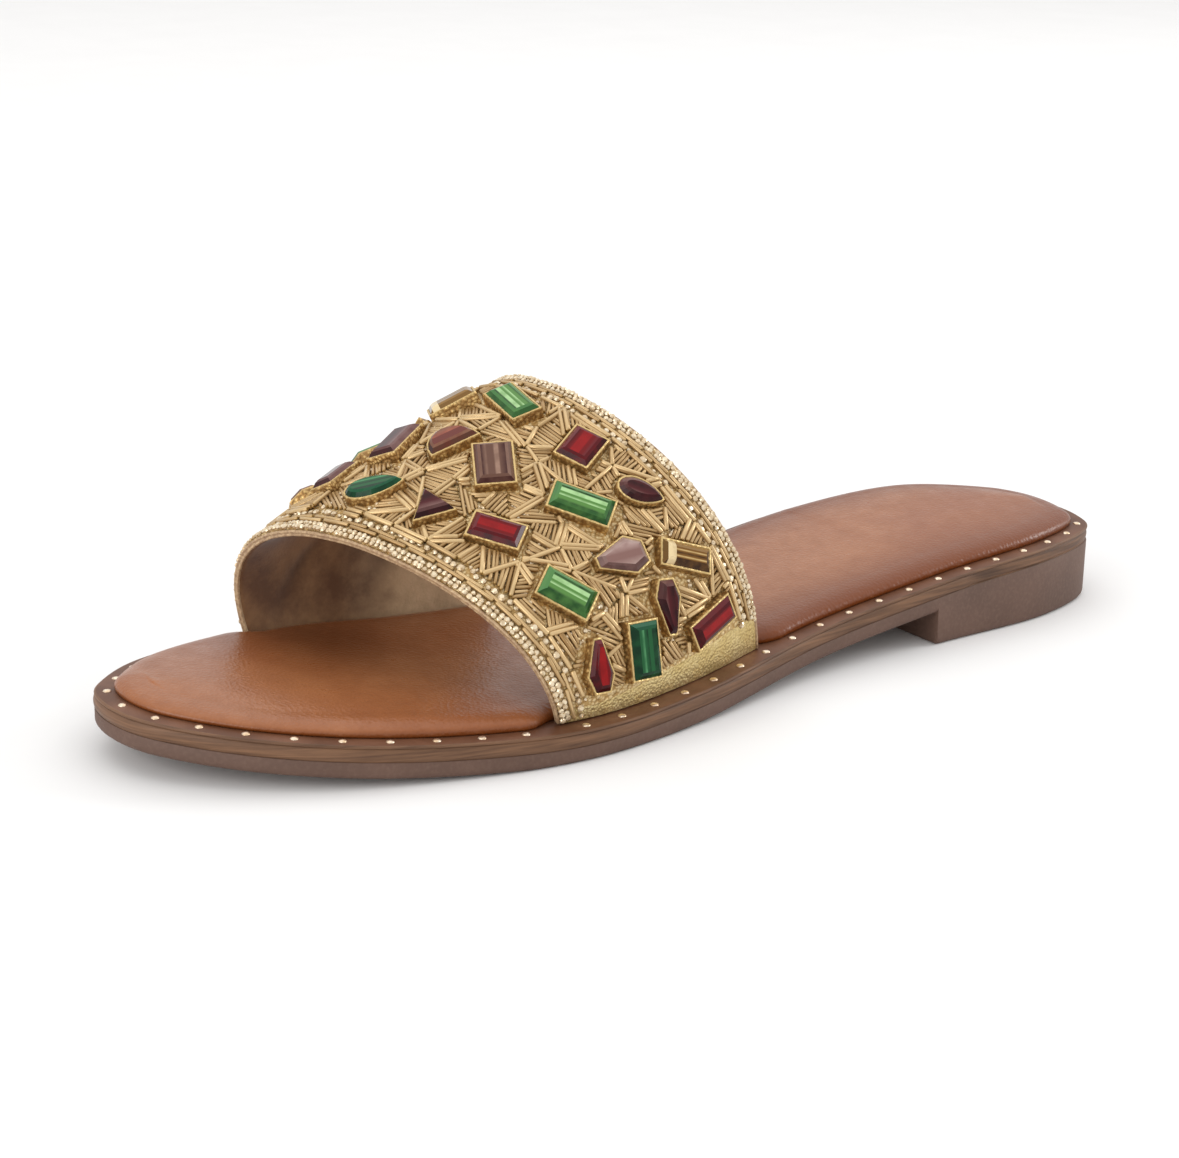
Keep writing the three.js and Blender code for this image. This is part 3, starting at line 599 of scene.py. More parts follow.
# Pigskin lining: napped and matte, brown, with painted light from the rear opening in paler patches and
# painted shade in the creases
def nappedLining():
    material, tree, at = startMaterial("nappedLining", rough=0.9, sheen=0.25)
    pale, fold = (addNode(tree, "Attribute", output="Fac", attribute_name=key) for key in ("pale", "fold"))
    rub = addNode(tree, "TexNoise", {"Scale": patternScale(12), "Detail": 7, "Roughness": 0.64, "Vector": at})
    nap = addNode(tree, "TexNoise", {"Scale": patternScale(0.6), "Detail": 3, "Vector": at})
    tone = blend(tree, rub, "#5f3c20", "#906a45", (0.36, 0.66))
    # painted light from the rear opening, broken into patches
    rearLightPatches = addNode(tree, "MapRange", {0: rub, 1: 0.35, 2: 0.62, 3: 0.45, 4: 1.0})
    bare = blend(tree, addNode(tree, "Math", {0: pale, 1: rearLightPatches}, operation="MULTIPLY"), tone, "#e9cba2")
    # painted shade in the creases, in this dark brown
    return finishMaterial(material, blend(tree, fold, bare, "#4a3020"), (nap, 0.3, 0.3))


# Turned edge of metallic kid: pale beige, folded round the rim
def edgeKid():
    material, tree, at = startMaterial("edgeKid", rough=0.5, metal=0.15)
    grain = addNode(tree, "TexNoise", {"Scale": patternScale(0.8), "Detail": 4, "Vector": at})
    return finishMaterial(material, blend(tree, grain, "#98795c", "#c4a882", (0.35, 0.68)), (grain, 0.3, 0.3))


# Soft troughs in the lining: share, turn, half width and half length in millimetres,
# lean in degrees and depth
shell = {"spans": 48, "arcs": 150, "split": 0.9, "rimWall": 1.1, "rimReach": 7, "turnLength": 67,
         "rearLightShares": (0.4, 0.85), "rearLightTurns": (1, 1.4), "fullShadeDepth": 0.7, "rearLightOnFolds": 0.7,
         "creases": np.array([(0.25, 1.80, 1.6, 9, 35, 0.5), (0.45, 1.62, 2.0, 12, -25, 0.6),
                              (0.30, 1.45, 1.8, 10, 20, 0.45), (0.65, 1.75, 2.2, 13, 40, 0.6),
                              (0.55, 1.25, 2.4, 12, -15, 0.4), (0.35, 0.35, 2.0, 10, 25, 0.45),
                              (0.60, 0.22, 1.8, 9, -30, 0.45)])}


# Band walls: the foil shell is the outer half of the wall, the lining the inner half; each crease
# presses the lining outward by a bell across it that fades along it, and is painted darker as painted shade;
# the lining also pales towards the rear of the medial wall as painted light
def makeShell():
    shares, turns = np.linspace(0, 1, shell["spans"] + 1), np.linspace(0, 2, shell["arcs"] + 1)
    share, turn = np.meshgrid(shares, turns, indexing="ij")
    points, faceSets = platePoints(share, turn, -shell["split"], 0.0)
    piece = buildPiece("foilBand", points, faceSets, foilLeather(), sharpAngle=50)
    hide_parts("upper")
    atShare, atTurn, wide, long, lean, depth = shell["creases"].T[..., None, None]
    behind, beside = (share - atShare) * band["length"], (turn - atTurn) * shell["turnLength"]
    cos, sin = np.cos(np.radians(lean)), np.sin(np.radians(lean))
    bell = np.exp(-((behind * cos + beside * sin) / wide) ** 2 - ((beside * cos - behind * sin) / long) ** 2)
    fold = (bell * depth).sum(0)
    fromRim = np.clip(np.minimum(share, 1 - share) * band["length"] / shell["rimReach"], 0, 1)
    wall = shell["rimWall"] + (band["wall"] - shell["rimWall"]) * fromRim * (2 - fromRim)
    points, faceSets = platePoints(share, turn, -wall + fold * fromRim, -shell["split"])
    # painted light from the rear opening, over the rear of the medial wall
    pale = np.interp(share, shell["rearLightShares"], (0, 1)) * np.interp(turn, shell["rearLightTurns"], (0, 1))
    # painted shade in the creases, weaker where the painted light falls
    dark = np.clip(fold / shell["fullShadeDepth"], 0, 1) * (1 - shell["rearLightOnFolds"] * pale)
    buildPiece("bandLining", points, faceSets, nappedLining(),
               values={"fold": np.stack([dark, 0 * dark]), "pale": np.stack([pale, pale])})


edging = {"back": 0.5, "ahead": 0.35, "rise": 0.25, "under": 0.12, "steps": 28, "arcs": 220, "nick": 0.3,
          "nickReach": 0.16, "outPower": 0.7, "upPower": 0.75}


# Turned edges: a rounded section round each rim of the band, a superellipse with a nick where shell and
# lining meet, carried along the rim from foot to foot
def makeTurnedEdges():
    turns = np.linspace(0, 2, edging["arcs"] + 1)
    spin = evenAngles(edging["steps"])
    c, s = np.cos(spin), np.sin(spin)
    nick = edging["nick"] * np.exp(-(s / edging["nickReach"]) ** 2) * (c > 0)
    middle, reach = (edging["ahead"] - edging["back"]) / 2, (edging["ahead"] + edging["back"]) / 2
    centre = (edging["rise"] - edging["under"] - shell["rimWall"]) / 2
    tall = (shell["rimWall"] + edging["rise"] + edging["under"]) / 2
    out = (middle + reach * np.sign(c) * np.abs(c) ** edging["outPower"] - nick)[None, :, None]
    up = (centre + tall * np.sign(s) * np.abs(s) ** edging["upPower"])[None, :, None]
    sets, faces = [], []
    for share, outward in ((0.0, -1), (1.0, 1)):
        point, rearward, over, normal = bandFrame(np.full(len(turns), share), turns)
        ahead = unit(rearward - normal * np.sum(rearward * normal, 1, keepdims=True)) * outward
        section = point[:, None] + ahead[:, None] * out + normal[:, None] * up
        start = sum(len(part) for part in sets)
        sets.append(section.reshape(-1, 3))
        faces += [part[:, ::-outward] + start for part in stackFaces(len(turns), len(spin))]
    buildPiece("turnedEdges", np.vstack(sets), faces, edgeKid(), merge=True)


# Bugle bead of metal-lined glass: a painted gold highlight along each tube, painted shade on its flanks,
# dark at the ends
def gildedGlass():
    material, tree, at = startMaterial("gildedGlass", metal=0.5, rough=0.32)
    tint, end = (addNode(tree, "Attribute", output="Fac", attribute_name=key) for key in ("tint", "end"))
    flaw = addNode(tree, "TexNoise", {"Scale": patternScale(0.7), "Detail": 2, "Vector": at})
    tone = blend(tree, tint, "#85602f", "#d2b484")
    return finishMaterial(material, blend(tree, end, tone, "#a08049"), (flaw, 0.12, 0.2))


# Ground of coiled gilt wire and grit under the beads: granular, dark between the grains
def giltGround():
    material, tree, at = startMaterial("giltGround", metal=0.45, rough=0.45)
    grit = addNode(tree, "TexVoronoi", {"Scale": patternScale(0.85), "Vector": at})
    return finishMaterial(material, blend(tree, grit, "#e6cf9e", "#b39058", (0.2, 0.65)), (grit, -0.8, 0.5))


# Foil-backed champagne crystal: pale facets, each with a painted glint tone of its own
def champagneCrystal():
    material, tree, at = startMaterial("champagneCrystal", metal=0.4, rough=0.16)
    facet = addNode(tree, "Attribute", output="Fac", attribute_name="facet")
    glint = addNode(tree, "TexNoise", {"Scale": patternScale(0.6), "Detail": 1, "Vector": at})
    return finishMaterial(material, blend(tree, facet, "#b59870", "#eadabc"), (glint, 0.2, 0.2))


tube = {"sides": 8, "chamfer": 0.25, "endReach": 0.62, "shine": 0.46, "flankShade": 0.16, "tintSpread": 0.15}


# Bugle tubes between start and end points: four rings of an octagon, the outer two drawn in; the crest
# value is the cube of each point's height on its ring, for a painted highlight along the top of each tube
def tubePoints(start, end, normal, radius):
    sides = tube["sides"]
    length = np.linalg.norm(end - start, axis=1, keepdims=True)
    axis = (end - start) / length
    side = unit(np.cross(axis, normal))
    up = np.cross(side, axis)
    spin = evenAngles(sides) + np.pi / sides
    circle = side[:, None] * np.cos(spin)[:, None] + up[:, None] * np.sin(spin)[:, None]
    along = np.hstack([0 * length, 0 * length + tube["chamfer"], length - tube["chamfer"], length])
    reach = np.array([tube["endReach"], 1, 1, tube["endReach"]]) * radius[:, None]
    points = (start[:, None, None] + axis[:, None, None] * along[..., None, None]
              + circle[:, None] * reach[..., None, None])
    rings = reach.shape[1]
    faceSets = repeatFaces(stackFaces(rings, sides), rings * sides, len(start))
    ends = np.broadcast_to(np.array([1, 0, 0, 1.0])[:, None], points.shape[:3])
    crestLight = np.broadcast_to(np.clip(np.sin(spin), 0, 1) ** 3, points.shape[:3])
    return points.reshape(-1, 3), faceSets, ends.ravel(), crestLight.ravel()


gem = {"sides": 8, "reach": (0.9, 1, 0.55), "rise": (-0.5, 0.2, 0.62), "tilt": 0.16, "crownGlint": (0.05, 1),
       "baseShade": 0.4, "tableGlint": (0.35, 1)}


# Round crystals at points: an octagon girdle, sloped crown facets and a flat table, tilted a little, and
# a painted glint tone for each facet in the order of the faces, the lowest facets darkened as painted shade
def gemPoints(centre, normal, along, radius, rng):
    count, sides, rings = len(centre), gem["sides"], len(gem["reach"])
    tilt = rng.normal(0, gem["tilt"], (count, 2))
    side = unit(np.cross(normal, along))
    up = unit(normal + along * tilt[:, :1] + side * tilt[:, 1:])
    first = unit(np.cross(side, up))
    second = np.cross(up, first)
    spin = evenAngles(sides) + rng.uniform(0, 1, (count, 1))
    circle = first[:, None] * np.cos(spin)[..., None] + second[:, None] * np.sin(spin)[..., None]
    reach, rise = (np.array(gem[key]) * radius[:, None] for key in ("reach", "rise"))
    points = (centre[:, None, None] + circle[:, None] * reach[..., None, None]
              + up[:, None, None] * rise[..., None, None])
    walls = rng.uniform(*gem["crownGlint"], (count, rings - 1, sides))
    # painted shade on the lowest facets
    walls[:, 0] *= gem["baseShade"]
    glintTones = np.concatenate([walls.ravel(), np.zeros(count), rng.uniform(*gem["tableGlint"], count)])
    return points.reshape(-1, 3), repeatFaces(stackFaces(rings, sides), rings * sides, count), glintTones


# Stones: cut, glass, share, turn, length, width and angle of the length from front-to-rear, in degrees
stoneRows = [
    ("kite", "ruby", 0.205, 0.138, 10.6, 6, 83), ("oblong", "pine", 0.407, 0.135, 11.6, 7.4, 81),
    ("kite", "plum", 0.584, 0.205, 11.2, 6, -105), ("oblong", "ruby", 0.742, 0.128, 12.6, 5.4, 13),
    ("oblong", "emerald", 0.268, 0.337, 11.3, 7, -56), ("kite", "mauve", 0.537, 0.358, 11.4, 8, 169),
    ("oblong", "topaz", 0.758, 0.292, 11.8, 5.2, -34), ("oblong", "ruby", 0.278, 0.572, 10.8, 6.2, -58),
    ("oblong", "emerald", 0.58, 0.521, 13, 6.7, -56), ("pear", "plum", 0.787, 0.476, 9.8, 5.6, -53),
    ("triangle", "plum", 0.241, 0.771, 8.6, 8, -26), ("oblong", "smoke", 0.51, 0.757, 12, 8, 52),
    ("oblong", "ruby", 0.772, 0.657, 9.2, 7.4, 18), ("pear", "pine", 0.218, 1.02, 12.5, 7, -50),
    ("halfMoon", "garnet", 0.528, 0.969, 11, 7, -18), ("oblong", "emerald", 0.8, 0.93, 12.6, 6.4, 74),
    ("oblong", "plum", 0.47, 1.198, 12.5, 7, 19), ("oblong", "topaz", 0.747, 1.19, 10.5, 7, -35),
    ("oblong", "plum", 0.28, 1.33, 9.5, 5.8, 15), ("oblong", "emerald", 0.51, 1.415, 13, 6, 15),
    ("oblong", "ruby", 0.76, 1.478, 10.5, 7, 40), ("kite", "garnet", 0.25, 1.55, 11, 7, 100),
    ("oblong", "topaz", 0.5, 1.65, 11.5, 6, -25), ("pear", "smoke", 0.77, 1.699, 11, 7, 75),
    ("oblong", "emerald", 0.28, 1.757, 11, 7, 20), ("oblong", "ruby", 0.54, 1.797, 10.5, 7.5, -30),
    ("kite", "plum", 0.34, 1.91, 10, 6.5, 10), ("oblong", "garnet", 0.745, 1.879, 10.5, 6.5, 15),
]
# Rings of a stone and of the wall round it: growth of the outline and height above the seat
setting = {"seat": 0.35, "rim": 0.6, "roundSteps": 20, "pearWidth": 0.57, "skyLevel": 0.35, "skySpan": 0.5,
           "stoneLevels": ((-0.05, 1.9), (-0.02, 2.5), (-0.75, 3.292), (-1.4, 3.6)),
           "wallLevels": ((0.5, -0.35), (0.52, 2.05), (0.43, 2.48), (0.24, 2.57), (0.03, 2.52), (-0.1, 2.1)),
           "wallRims": (0, 0, 0.8, 1, 0.9, 0)}


# Outline of a cut from above, length along x, as its corner points or an even walk round its curve
def cutOutline(cut, length, width):
    if cut == "oblong":
        corners = [(0.5, -0.5), (0.5, 0.5), (-0.5, 0.5), (-0.5, -0.5)]
    if cut == "kite":
        corners = [(0.5, -0.14), (0.5, 0.14), (-0.18, 0.5), (-0.5, 0.28), (-0.5, -0.28), (-0.18, -0.5)]
    if cut == "triangle":
        corners = [(0.5, -0.5), (0, 0.5), (-0.5, -0.5)]
    if cut == "pear":
        t = evenAngles(setting["roundSteps"])
        bulge = setting["pearWidth"] * np.sqrt(np.sin(t / 2))
        corners = np.stack([0.5 * np.cos(t), bulge * np.sin(t)], -1)
    if cut == "halfMoon":
        t = np.linspace(0, np.pi, setting["roundSteps"] // 2 + 1)
        corners = np.stack([0.5 * np.cos(t), np.sin(t) - 0.5], -1)
    return np.array(corners) * (length, width)


# The frame of a stone's seat on the band: origin, length direction, width direction and the way out
def seatFrame(share, turn, angle):
    point, rearward, over, normal = bandFrame(share, turn)
    rear = unit(rearward - normal * rearward.dot(normal))
    angle = math.radians(angle)
    turned = rear * math.cos(angle) + np.cross(normal, rear) * math.sin(angle)
    return point + normal * setting["seat"], turned, np.cross(normal, turned), normal


# Rings of one outline, grown by a margin on each side, at heights above the seat, and their plain shape
# as shares of the cut's length and width
def stoneRings(row, levels):
    cut, glass, share, turn, length, width, angle = row
    outline = cutOutline(cut, length, width)
    origin, x, y, z = seatFrame(share, turn, angle)
    grown = [outline * (1 + 2 * grow / length, 1 + 2 * grow / width) for grow, height in levels]
    rings = [origin + ring[:, :1] * x + ring[:, 1:] * y + height * z
             for ring, (grow, height) in zip(grown, levels)]
    return np.array(rings), np.array(grown) / (length, width)


# Stone outlines in the band's own share and turn, grown by a margin, for laying beads round them
def stoneFootprints(margin):
    prints = []
    for row in stoneRows:
        point, rearward, over, normal = bandFrame(row[2], row[3])
        offset = stoneRings(row, [(margin, 0)])[0][0] - point
        solved = np.linalg.lstsq(np.stack([rearward, over], -1), offset.T, rcond=None)[0].T
        prints.append(solved + (row[2], row[3]))
    return prints


# Cast setting: granular dull gold walls under a thin brighter rim
def castSetting():
    material, tree, at = startMaterial("castSetting", metal=0.75, rough=0.4)
    rim = addNode(tree, "Attribute", output="Fac", attribute_name="rim")
    grit = addNode(tree, "TexVoronoi", {"Scale": patternScale(0.9), "Vector": at})
    wall = blend(tree, grit, "#d8b678", "#957040", (0.15, 0.6))
    return finishMaterial(material, blend(tree, rim, wall, "#d3b67c"), (grit, -0.6, 0.4))


# Foil-backed pressed glass: colours of each glass for painted shade, its body, painted light, and the
# painted reflection of the sky on its edge facets
glassColours = {
    "ruby": ("#32060a", "#690b0f", "#8c1214", "#61262a"),
    "garnet": ("#32140f", "#63291f", "#954f3a", "#835a46"),
    "emerald": ("#1e421d", "#537f3e", "#a4ca8f", "#4f7c49"),
    "pine": ("#0e2e1c", "#1f5430", "#528e60", "#285940"),
    "plum": ("#260c0e", "#4a191c", "#784d4b", "#70504c"),
    "mauve": ("#573d39", "#80605a", "#b49a93", "#a38a82"),
    "topaz": ("#382210", "#7a5526", "#cfb27a", "#8a6838"),
    "smoke": ("#3c1c18", "#614337", "#927362", "#7c5d4e"),
}
# Stripes painted on the table from one long side to the other, as painted reflections and shade of the
# facets below it: position, then which of the colours above
glassReflectionStripes = {
    "ruby": ((0.2, 3), (0.3, 1), (0.36, 1), (0.4, 2), (0.64, 2), (0.68, 1), (0.84, 0)),
    "garnet": ((0.2, 1), (0.5, 1), (0.53, 2), (0.75, 3)),
    "emerald": ((0.22, 0), (0.3, 1), (0.4, 1), (0.42, 2), (0.5, 1), (0.56, 1), (0.58, 2), (0.7, 2),
                (0.73, 0)),
    "pine": ((0.2, 0), (0.33, 0), (0.36, 1), (0.48, 1), (0.5, 0), (0.62, 1), (0.66, 2), (0.74, 1)),
    "plum": ((0.2, 3), (0.36, 1), (0.6, 0), (0.78, 1)),
    "mauve": ((0.2, 2), (0.45, 1), (0.6, 1), (0.8, 3)),
    "topaz": ((0.2, 0), (0.3, 1), (0.36, 2), (0.4, 1), (0.5, 0), (0.58, 1), (0.63, 2), (0.67, 1), (0.8, 0)),
    "smoke": ((0.2, 0), (0.34, 1), (0.37, 2), (0.46, 2), (0.5, 1), (0.66, 1), (0.7, 3), (0.8, 0)),
}
# A pale bar across one end of the stone in the glass that shows one: its two sides, as shares of the
# stone's length, and its colour
glassBars = {"topaz": (0.07, 0.23, "#dcc69a")}


# Pressed glass: sloped sides in painted shade that take a painted sky reflection where they face up, round a
# table of painted stripes
def pressedGlass(name):
    material, tree, at = startMaterial(name + "Glass", rough=0.06, ior=1.5, specular=0.16)
    shade, body, light, sky = glassColours[name]
    across = addNode(tree, "SeparateXYZ", {0: addNode(tree, "UVMap", uv_map="UVMap")}, "Y")
    reflectionStripes = addNode(tree, "ValToRGB", {"Fac": across})
    ramp = reflectionStripes.node.color_ramp
    stops = glassReflectionStripes[name]
    while len(ramp.elements) < len(stops):
        ramp.elements.new(1.0)
    for element, (position, colour) in zip(ramp.elements, stops):
        element.position = position
        element.color = linear((shade, body, light, sky)[colour])
    facet, table = (addNode(tree, "Attribute", output="Fac", attribute_name=key)
                    for key in ("facet", "table"))
    # facets facing up take the painted sky reflection, the others painted shade; the table takes the painted
    # stripes
    base = blend(tree, table, blend(tree, facet, shade, sky), reflectionStripes)
    if name in glassBars:
        low, high, pale = glassBars[name]
        bar = {0: across.node.outputs["X"], 1: (low + high) / 2, 2: (high - low) / 2}
        base = blend(tree, addNode(tree, "Math", bar, operation="COMPARE"), base, pale)
    # the foil behind the glass lights its depths unevenly, in patches of a few millimetres
    foil = addNode(tree, "TexNoise", {"Scale": patternScale(2.5), "Detail": 2, "Vector": at})
    return finishMaterial(material, blend(tree, foil, base, body, (0.4, 0.7), 0.5))


# How much each sloped facet looks up, for its painted sky reflection: the height of its normal, from the
# cross product of its sides
def skyTone(points, faces):
    corner = points[faces]
    normal = unit(np.cross(corner[:, 1] - corner[:, 0], corner[:, 2] - corner[:, 0]))
    return np.clip((normal[:, 2] - setting["skyLevel"]) / setting["skySpan"], 0, 1)


# Stones: each a step-cut body of three sloped rings and a table; one joined piece for each glass
def makeStones():
    groups, wallSets, wallFaces, rims = {}, [], [], []
    for index, row in enumerate(stoneRows):
        groups.setdefault(row[1], []).append(index)
        rings = stoneRings(row, setting["wallLevels"])[0]
        start = sum(len(part) for part in wallSets)
        wallSets.append(rings.reshape(-1, 3))
        wallFaces += [faces + start for faces in stackFaces(*rings.shape[:2])]
        rims.append(np.repeat(setting["wallRims"], rings.shape[1]))
    buildPiece("stoneSettings", np.vstack(wallSets), wallFaces, castSetting(),
               values={"rim": np.concatenate(rims)}, sharpAngle=35)
    for glass, members in groups.items():
        points, faceSets, facets, tables, flats, start = [], [], [], [], [], 0
        for index in members:
            rings, flat = stoneRings(stoneRows[index], setting["stoneLevels"])
            stack = stackFaces(*rings.shape[:2])
            body = rings.reshape(-1, 3)
            points.append(body)
            flats.append(flat.reshape(-1, 2) + 0.5)
            faceSets += [faces + start for faces in stack]
            facets += [skyTone(body, stack[0]), [0, 1]]
            tables += [np.zeros(len(stack[0])), [0, 1]]
            start += len(body)
        values = {"facet": np.concatenate(facets), "table": np.concatenate(tables)}
        piece = buildPiece(glass + "Stones", np.vstack(points), faceSets,
                           pressedGlass(glass), faceValues=values, uv=np.vstack(flats), flat=True)
        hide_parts(*["stone_%02d" % (index + 1) for index in members])


# Which of many share and turn points fall inside any of the outlines, by the sign of each edge
def insideAny(points, outlines):
    found = np.zeros(points.shape[:-1], bool)
    for outline in outlines:
        ahead = np.roll(outline, -1, 0) - outline
        offset = points[..., None, :] - outline
        side = ahead[:, 0] * offset[..., 1] - ahead[:, 1] * offset[..., 0]
        found |= np.all(side >= 0, -1) | np.all(side <= 0, -1)
    return found


# Edge trims, by distance in millimetres in from the rim of the band; each row of crystals has its
# distance, pitch, phase, radius, wander and lift
trims = {"crystalRows": ((0.95, 1.26, 0.0, 0.67, 0.12, 0), (2.1, 1.26, 0.5, 0.67, 0.12, 0),
                         (5.5, 1.75, 0.25, 0.8, 0.3, 0.25)),
         "phaseWander": 0.08, "sizes": (0.8, 1.12), "raisedSizes": (0.7, 1.1), "seat": 0.15, "sizeLift": 0.25,
         "bugleRows": (3.35, 4.25), "bugleLength": 7.4, "bugleGap": 0.35, "bugleRadius": 0.46,
         "bugleWander": 0.07, "bugleRise": 0.25, "bugleTint": 0.5, "clearance": 0.55, "ground": 0.42,
         "ends": {0: (0.012, 1.988), 1: (0.078, 1.922)}}


# Shares at a distance in from an edge, where the band's length differs from turn to turn
def shareFrom(edge, distance, turn):
    rearward = bandFrame(np.full(np.shape(turn), float(edge)), turn)[1]
    share = distance / np.linalg.norm(rearward, axis=-1)
    return share if edge == 0 else 1 - share


# Crystals at share and turn points, each at a lift
def layCrystals(name, share, turn, lift, sizes, rng):
    point, rearward, over, normal = bandFrame(share, turn)
    centre = point + normal * np.broadcast_to(lift, sizes.shape)[:, None]
    points, faceSets, glintTones = gemPoints(centre, normal, unit(over), sizes, rng)
    return buildPiece(name, points, faceSets, champagneCrystal(), faceValues={"facet": glintTones},
                      flat=True)


# Trim of one edge: two close rows of crystals set half a step apart, two rows of long bugles end to
# end, and a looser row of larger crystals
def makeTrim(name, node, edge, seed):
    rng = np.random.default_rng(seed)
    prints = stoneFootprints(setting["rim"] + trims["clearance"])
    ends = trims["ends"][edge]
    spots = []
    for distance, pitch, phase, radius, wander, lift in trims["crystalRows"]:
        turn = evenTurns(abs(edge - distance / band["length"]), pitch, ends)
        turn = turn + (phase + rng.normal(0, trims["phaseWander"], len(turn))) * np.gradient(turn)
        share = shareFrom(edge, distance + rng.normal(0, wander, len(turn)), turn)
        sizes = radius * rng.uniform(*trims["sizes"], len(turn))
        if lift > 0:
            sizes = sizes * rng.uniform(*trims["raisedSizes"], len(turn))
        spots.append(np.stack([share, turn, sizes, np.full(len(turn), lift)], -1))
    spots = np.vstack(spots)
    spots = spots[~insideAny(spots[:, :2], prints) & (spots[:, 1] > 0) & (spots[:, 1] < 2)]
    share, turn, sizes, lift = spots.T
    lift = trims["ground"] + trims["seat"] + trims["sizeLift"] * sizes + lift
    piece = layCrystals(name + "Crystals", share, turn, lift, sizes, rng)
    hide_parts(node)
    pairs = []
    for k, distance in enumerate(trims["bugleRows"]):
        turn = evenTurns(abs(edge - distance / band["length"]), trims["bugleLength"], ends)
        turn = np.clip(turn + 0.5 * k * np.gradient(turn), *ends)
        close = trims["bugleGap"] / trims["bugleLength"] * np.diff(turn)
        spread = np.stack([turn[:-1] + close, turn[1:] - close], -1)
        inward = distance + rng.normal(0, trims["bugleWander"], spread.shape)
        pairs.append(np.stack([shareFrom(edge, inward, spread), spread], -1))
    pairs = np.vstack(pairs)
    pairs = pairs[~insideAny(pairs.mean(1), prints)]
    lift = trims["ground"] + trims["bugleRadius"] + rng.uniform(0, trims["bugleRise"], len(pairs))
    radius = np.full(len(pairs), trims["bugleRadius"])
    layBugles(name + "Bugles", pairs, lift, radius, rng, trims["bugleTint"])


# Bugles between pairs of share and turn points at a lift: tubes, each with a tint of its own, lifted by a
# painted highlight towards its crest and lowered by painted shade on its flanks
def layBugles(name, ends, lift, radius, rng, brightness):
    normal = bandFrame(*ends.mean(1).T)[3]
    start, end = (onBand(*ends[:, k].T, lift) for k in (0, 1))
    points, faceSets, dark, crestLight = tubePoints(start, end, normal, radius)
    ownTint = brightness + rng.normal(0, tube["tintSpread"], len(ends))
    # painted highlight along each tube's crest and painted shade on its flanks
    shine = tube["shine"] * crestLight - tube["flankShade"]
    tint = np.clip(np.repeat(ownTint, len(points) // len(ends)) + shine, 0, 1)
    buildPiece(name, points, faceSets, gildedGlass(), values={"tint": tint, "end": dark},
               sharpAngle=50)


carpet = {"shares": (0.108, 0.892), "footShares": (0.15, 0.85), "footTurns": (0.045, 0.095), "ground": 0.75,
          "seed": 5, "facet": 8.4, "jitter": 2.4, "stagger": 0.25, "pitch": 0.87, "radius": 0.43,
          "maxRows": 12, "deepest": 0.85, "shortest": 1.8, "longest": 9.5, "samples": 33, "bare": 0.05,
          "stray": 0.18, "facetRise": 0.3, "seamShare": 0.75, "doubled": 0.35, "seamRadius": 0.54,
          "seamStep": 1.06, "seamLift": 0.4, "seamRise": 0.25, "endGap": 0.2, "clearance": 0.35,
          "bedding": 0.7, "radiusSpread": (0.9, 1.1), "tint": 0.36, "seamTint": 0.74, "weld": 1e-5}
seeds = {"count": 1300, "turns": (0.03, 1.97), "margin": 0.01, "clearance": 0.75, "sizes": (0.36, 0.58),
         "lift": 0.95}
midArc = arcLength(bandPoint(0.5, arcTurns))


# Lowest turn of the beadwork on the lateral side, and its mirror on the medial side
def fieldTurn(share):
    low = np.interp(share, carpet["footShares"], carpet["footTurns"])
    return low, 2 - low


# Share and turn of points on the field laid flat: distance rearward, and arc over the band's middle
def toTurn(flat):
    return np.stack([flat[..., 0] / band["length"], np.interp(flat[..., 1], midArc, arcTurns)], -1)


# Points on the band of points on the field laid flat
def fromFlat(flat):
    return bandPoint(*np.moveaxis(toTurn(flat), -1, 0))


# Longest run of free samples on each line, as its first and last sample, by one pass over the samples
def longestRun(free):
    run = np.zeros(len(free), int)
    best, bestEnd = run.copy(), run.copy()
    for k in range(free.shape[1]):
        run = np.where(free[:, k], run + 1, 0)
        better = run > best
        best, bestEnd = np.where(better, run, best), np.where(better, k, bestEnd)
    return bestEnd - best + 1, bestEnd


# The field split into facets: a triangulation of a staggered grid of jittered points
def splitField(rng):
    lowP, highP = np.array(carpet["shares"]) * band["length"]
    lowQ, highQ = np.interp(fieldTurn(0.5), arcTurns, midArc)
    columns, rows = (round(size / carpet["facet"]) for size in (highP - lowP, highQ - lowQ))
    p, q = np.meshgrid(np.linspace(lowP, highP, columns + 1), np.linspace(lowQ, highQ, rows + 1),
                       indexing="ij")
    stagger = carpet["stagger"] * carpet["facet"] * (np.arange(columns + 1) % 2)[:, None]
    q = q + stagger * np.sin(np.pi * (q - lowQ) / (highQ - lowQ))
    wander = rng.uniform(-1, 1, (2,) + p.shape) * carpet["jitter"]
    wander[0, [0, -1]] = 0
    wander[1][:, [0, -1]] = 0
    knots = np.stack([p + wander[0], q + wander[1]], -1).reshape(-1, 2)
    made = geometry.delaunay_2d_cdt([Vector(knot) for knot in knots], [], [], 0, carpet["weld"])
    return np.array([tuple(knot) for knot in made[0]]), np.array([list(face) for face in made[2]])


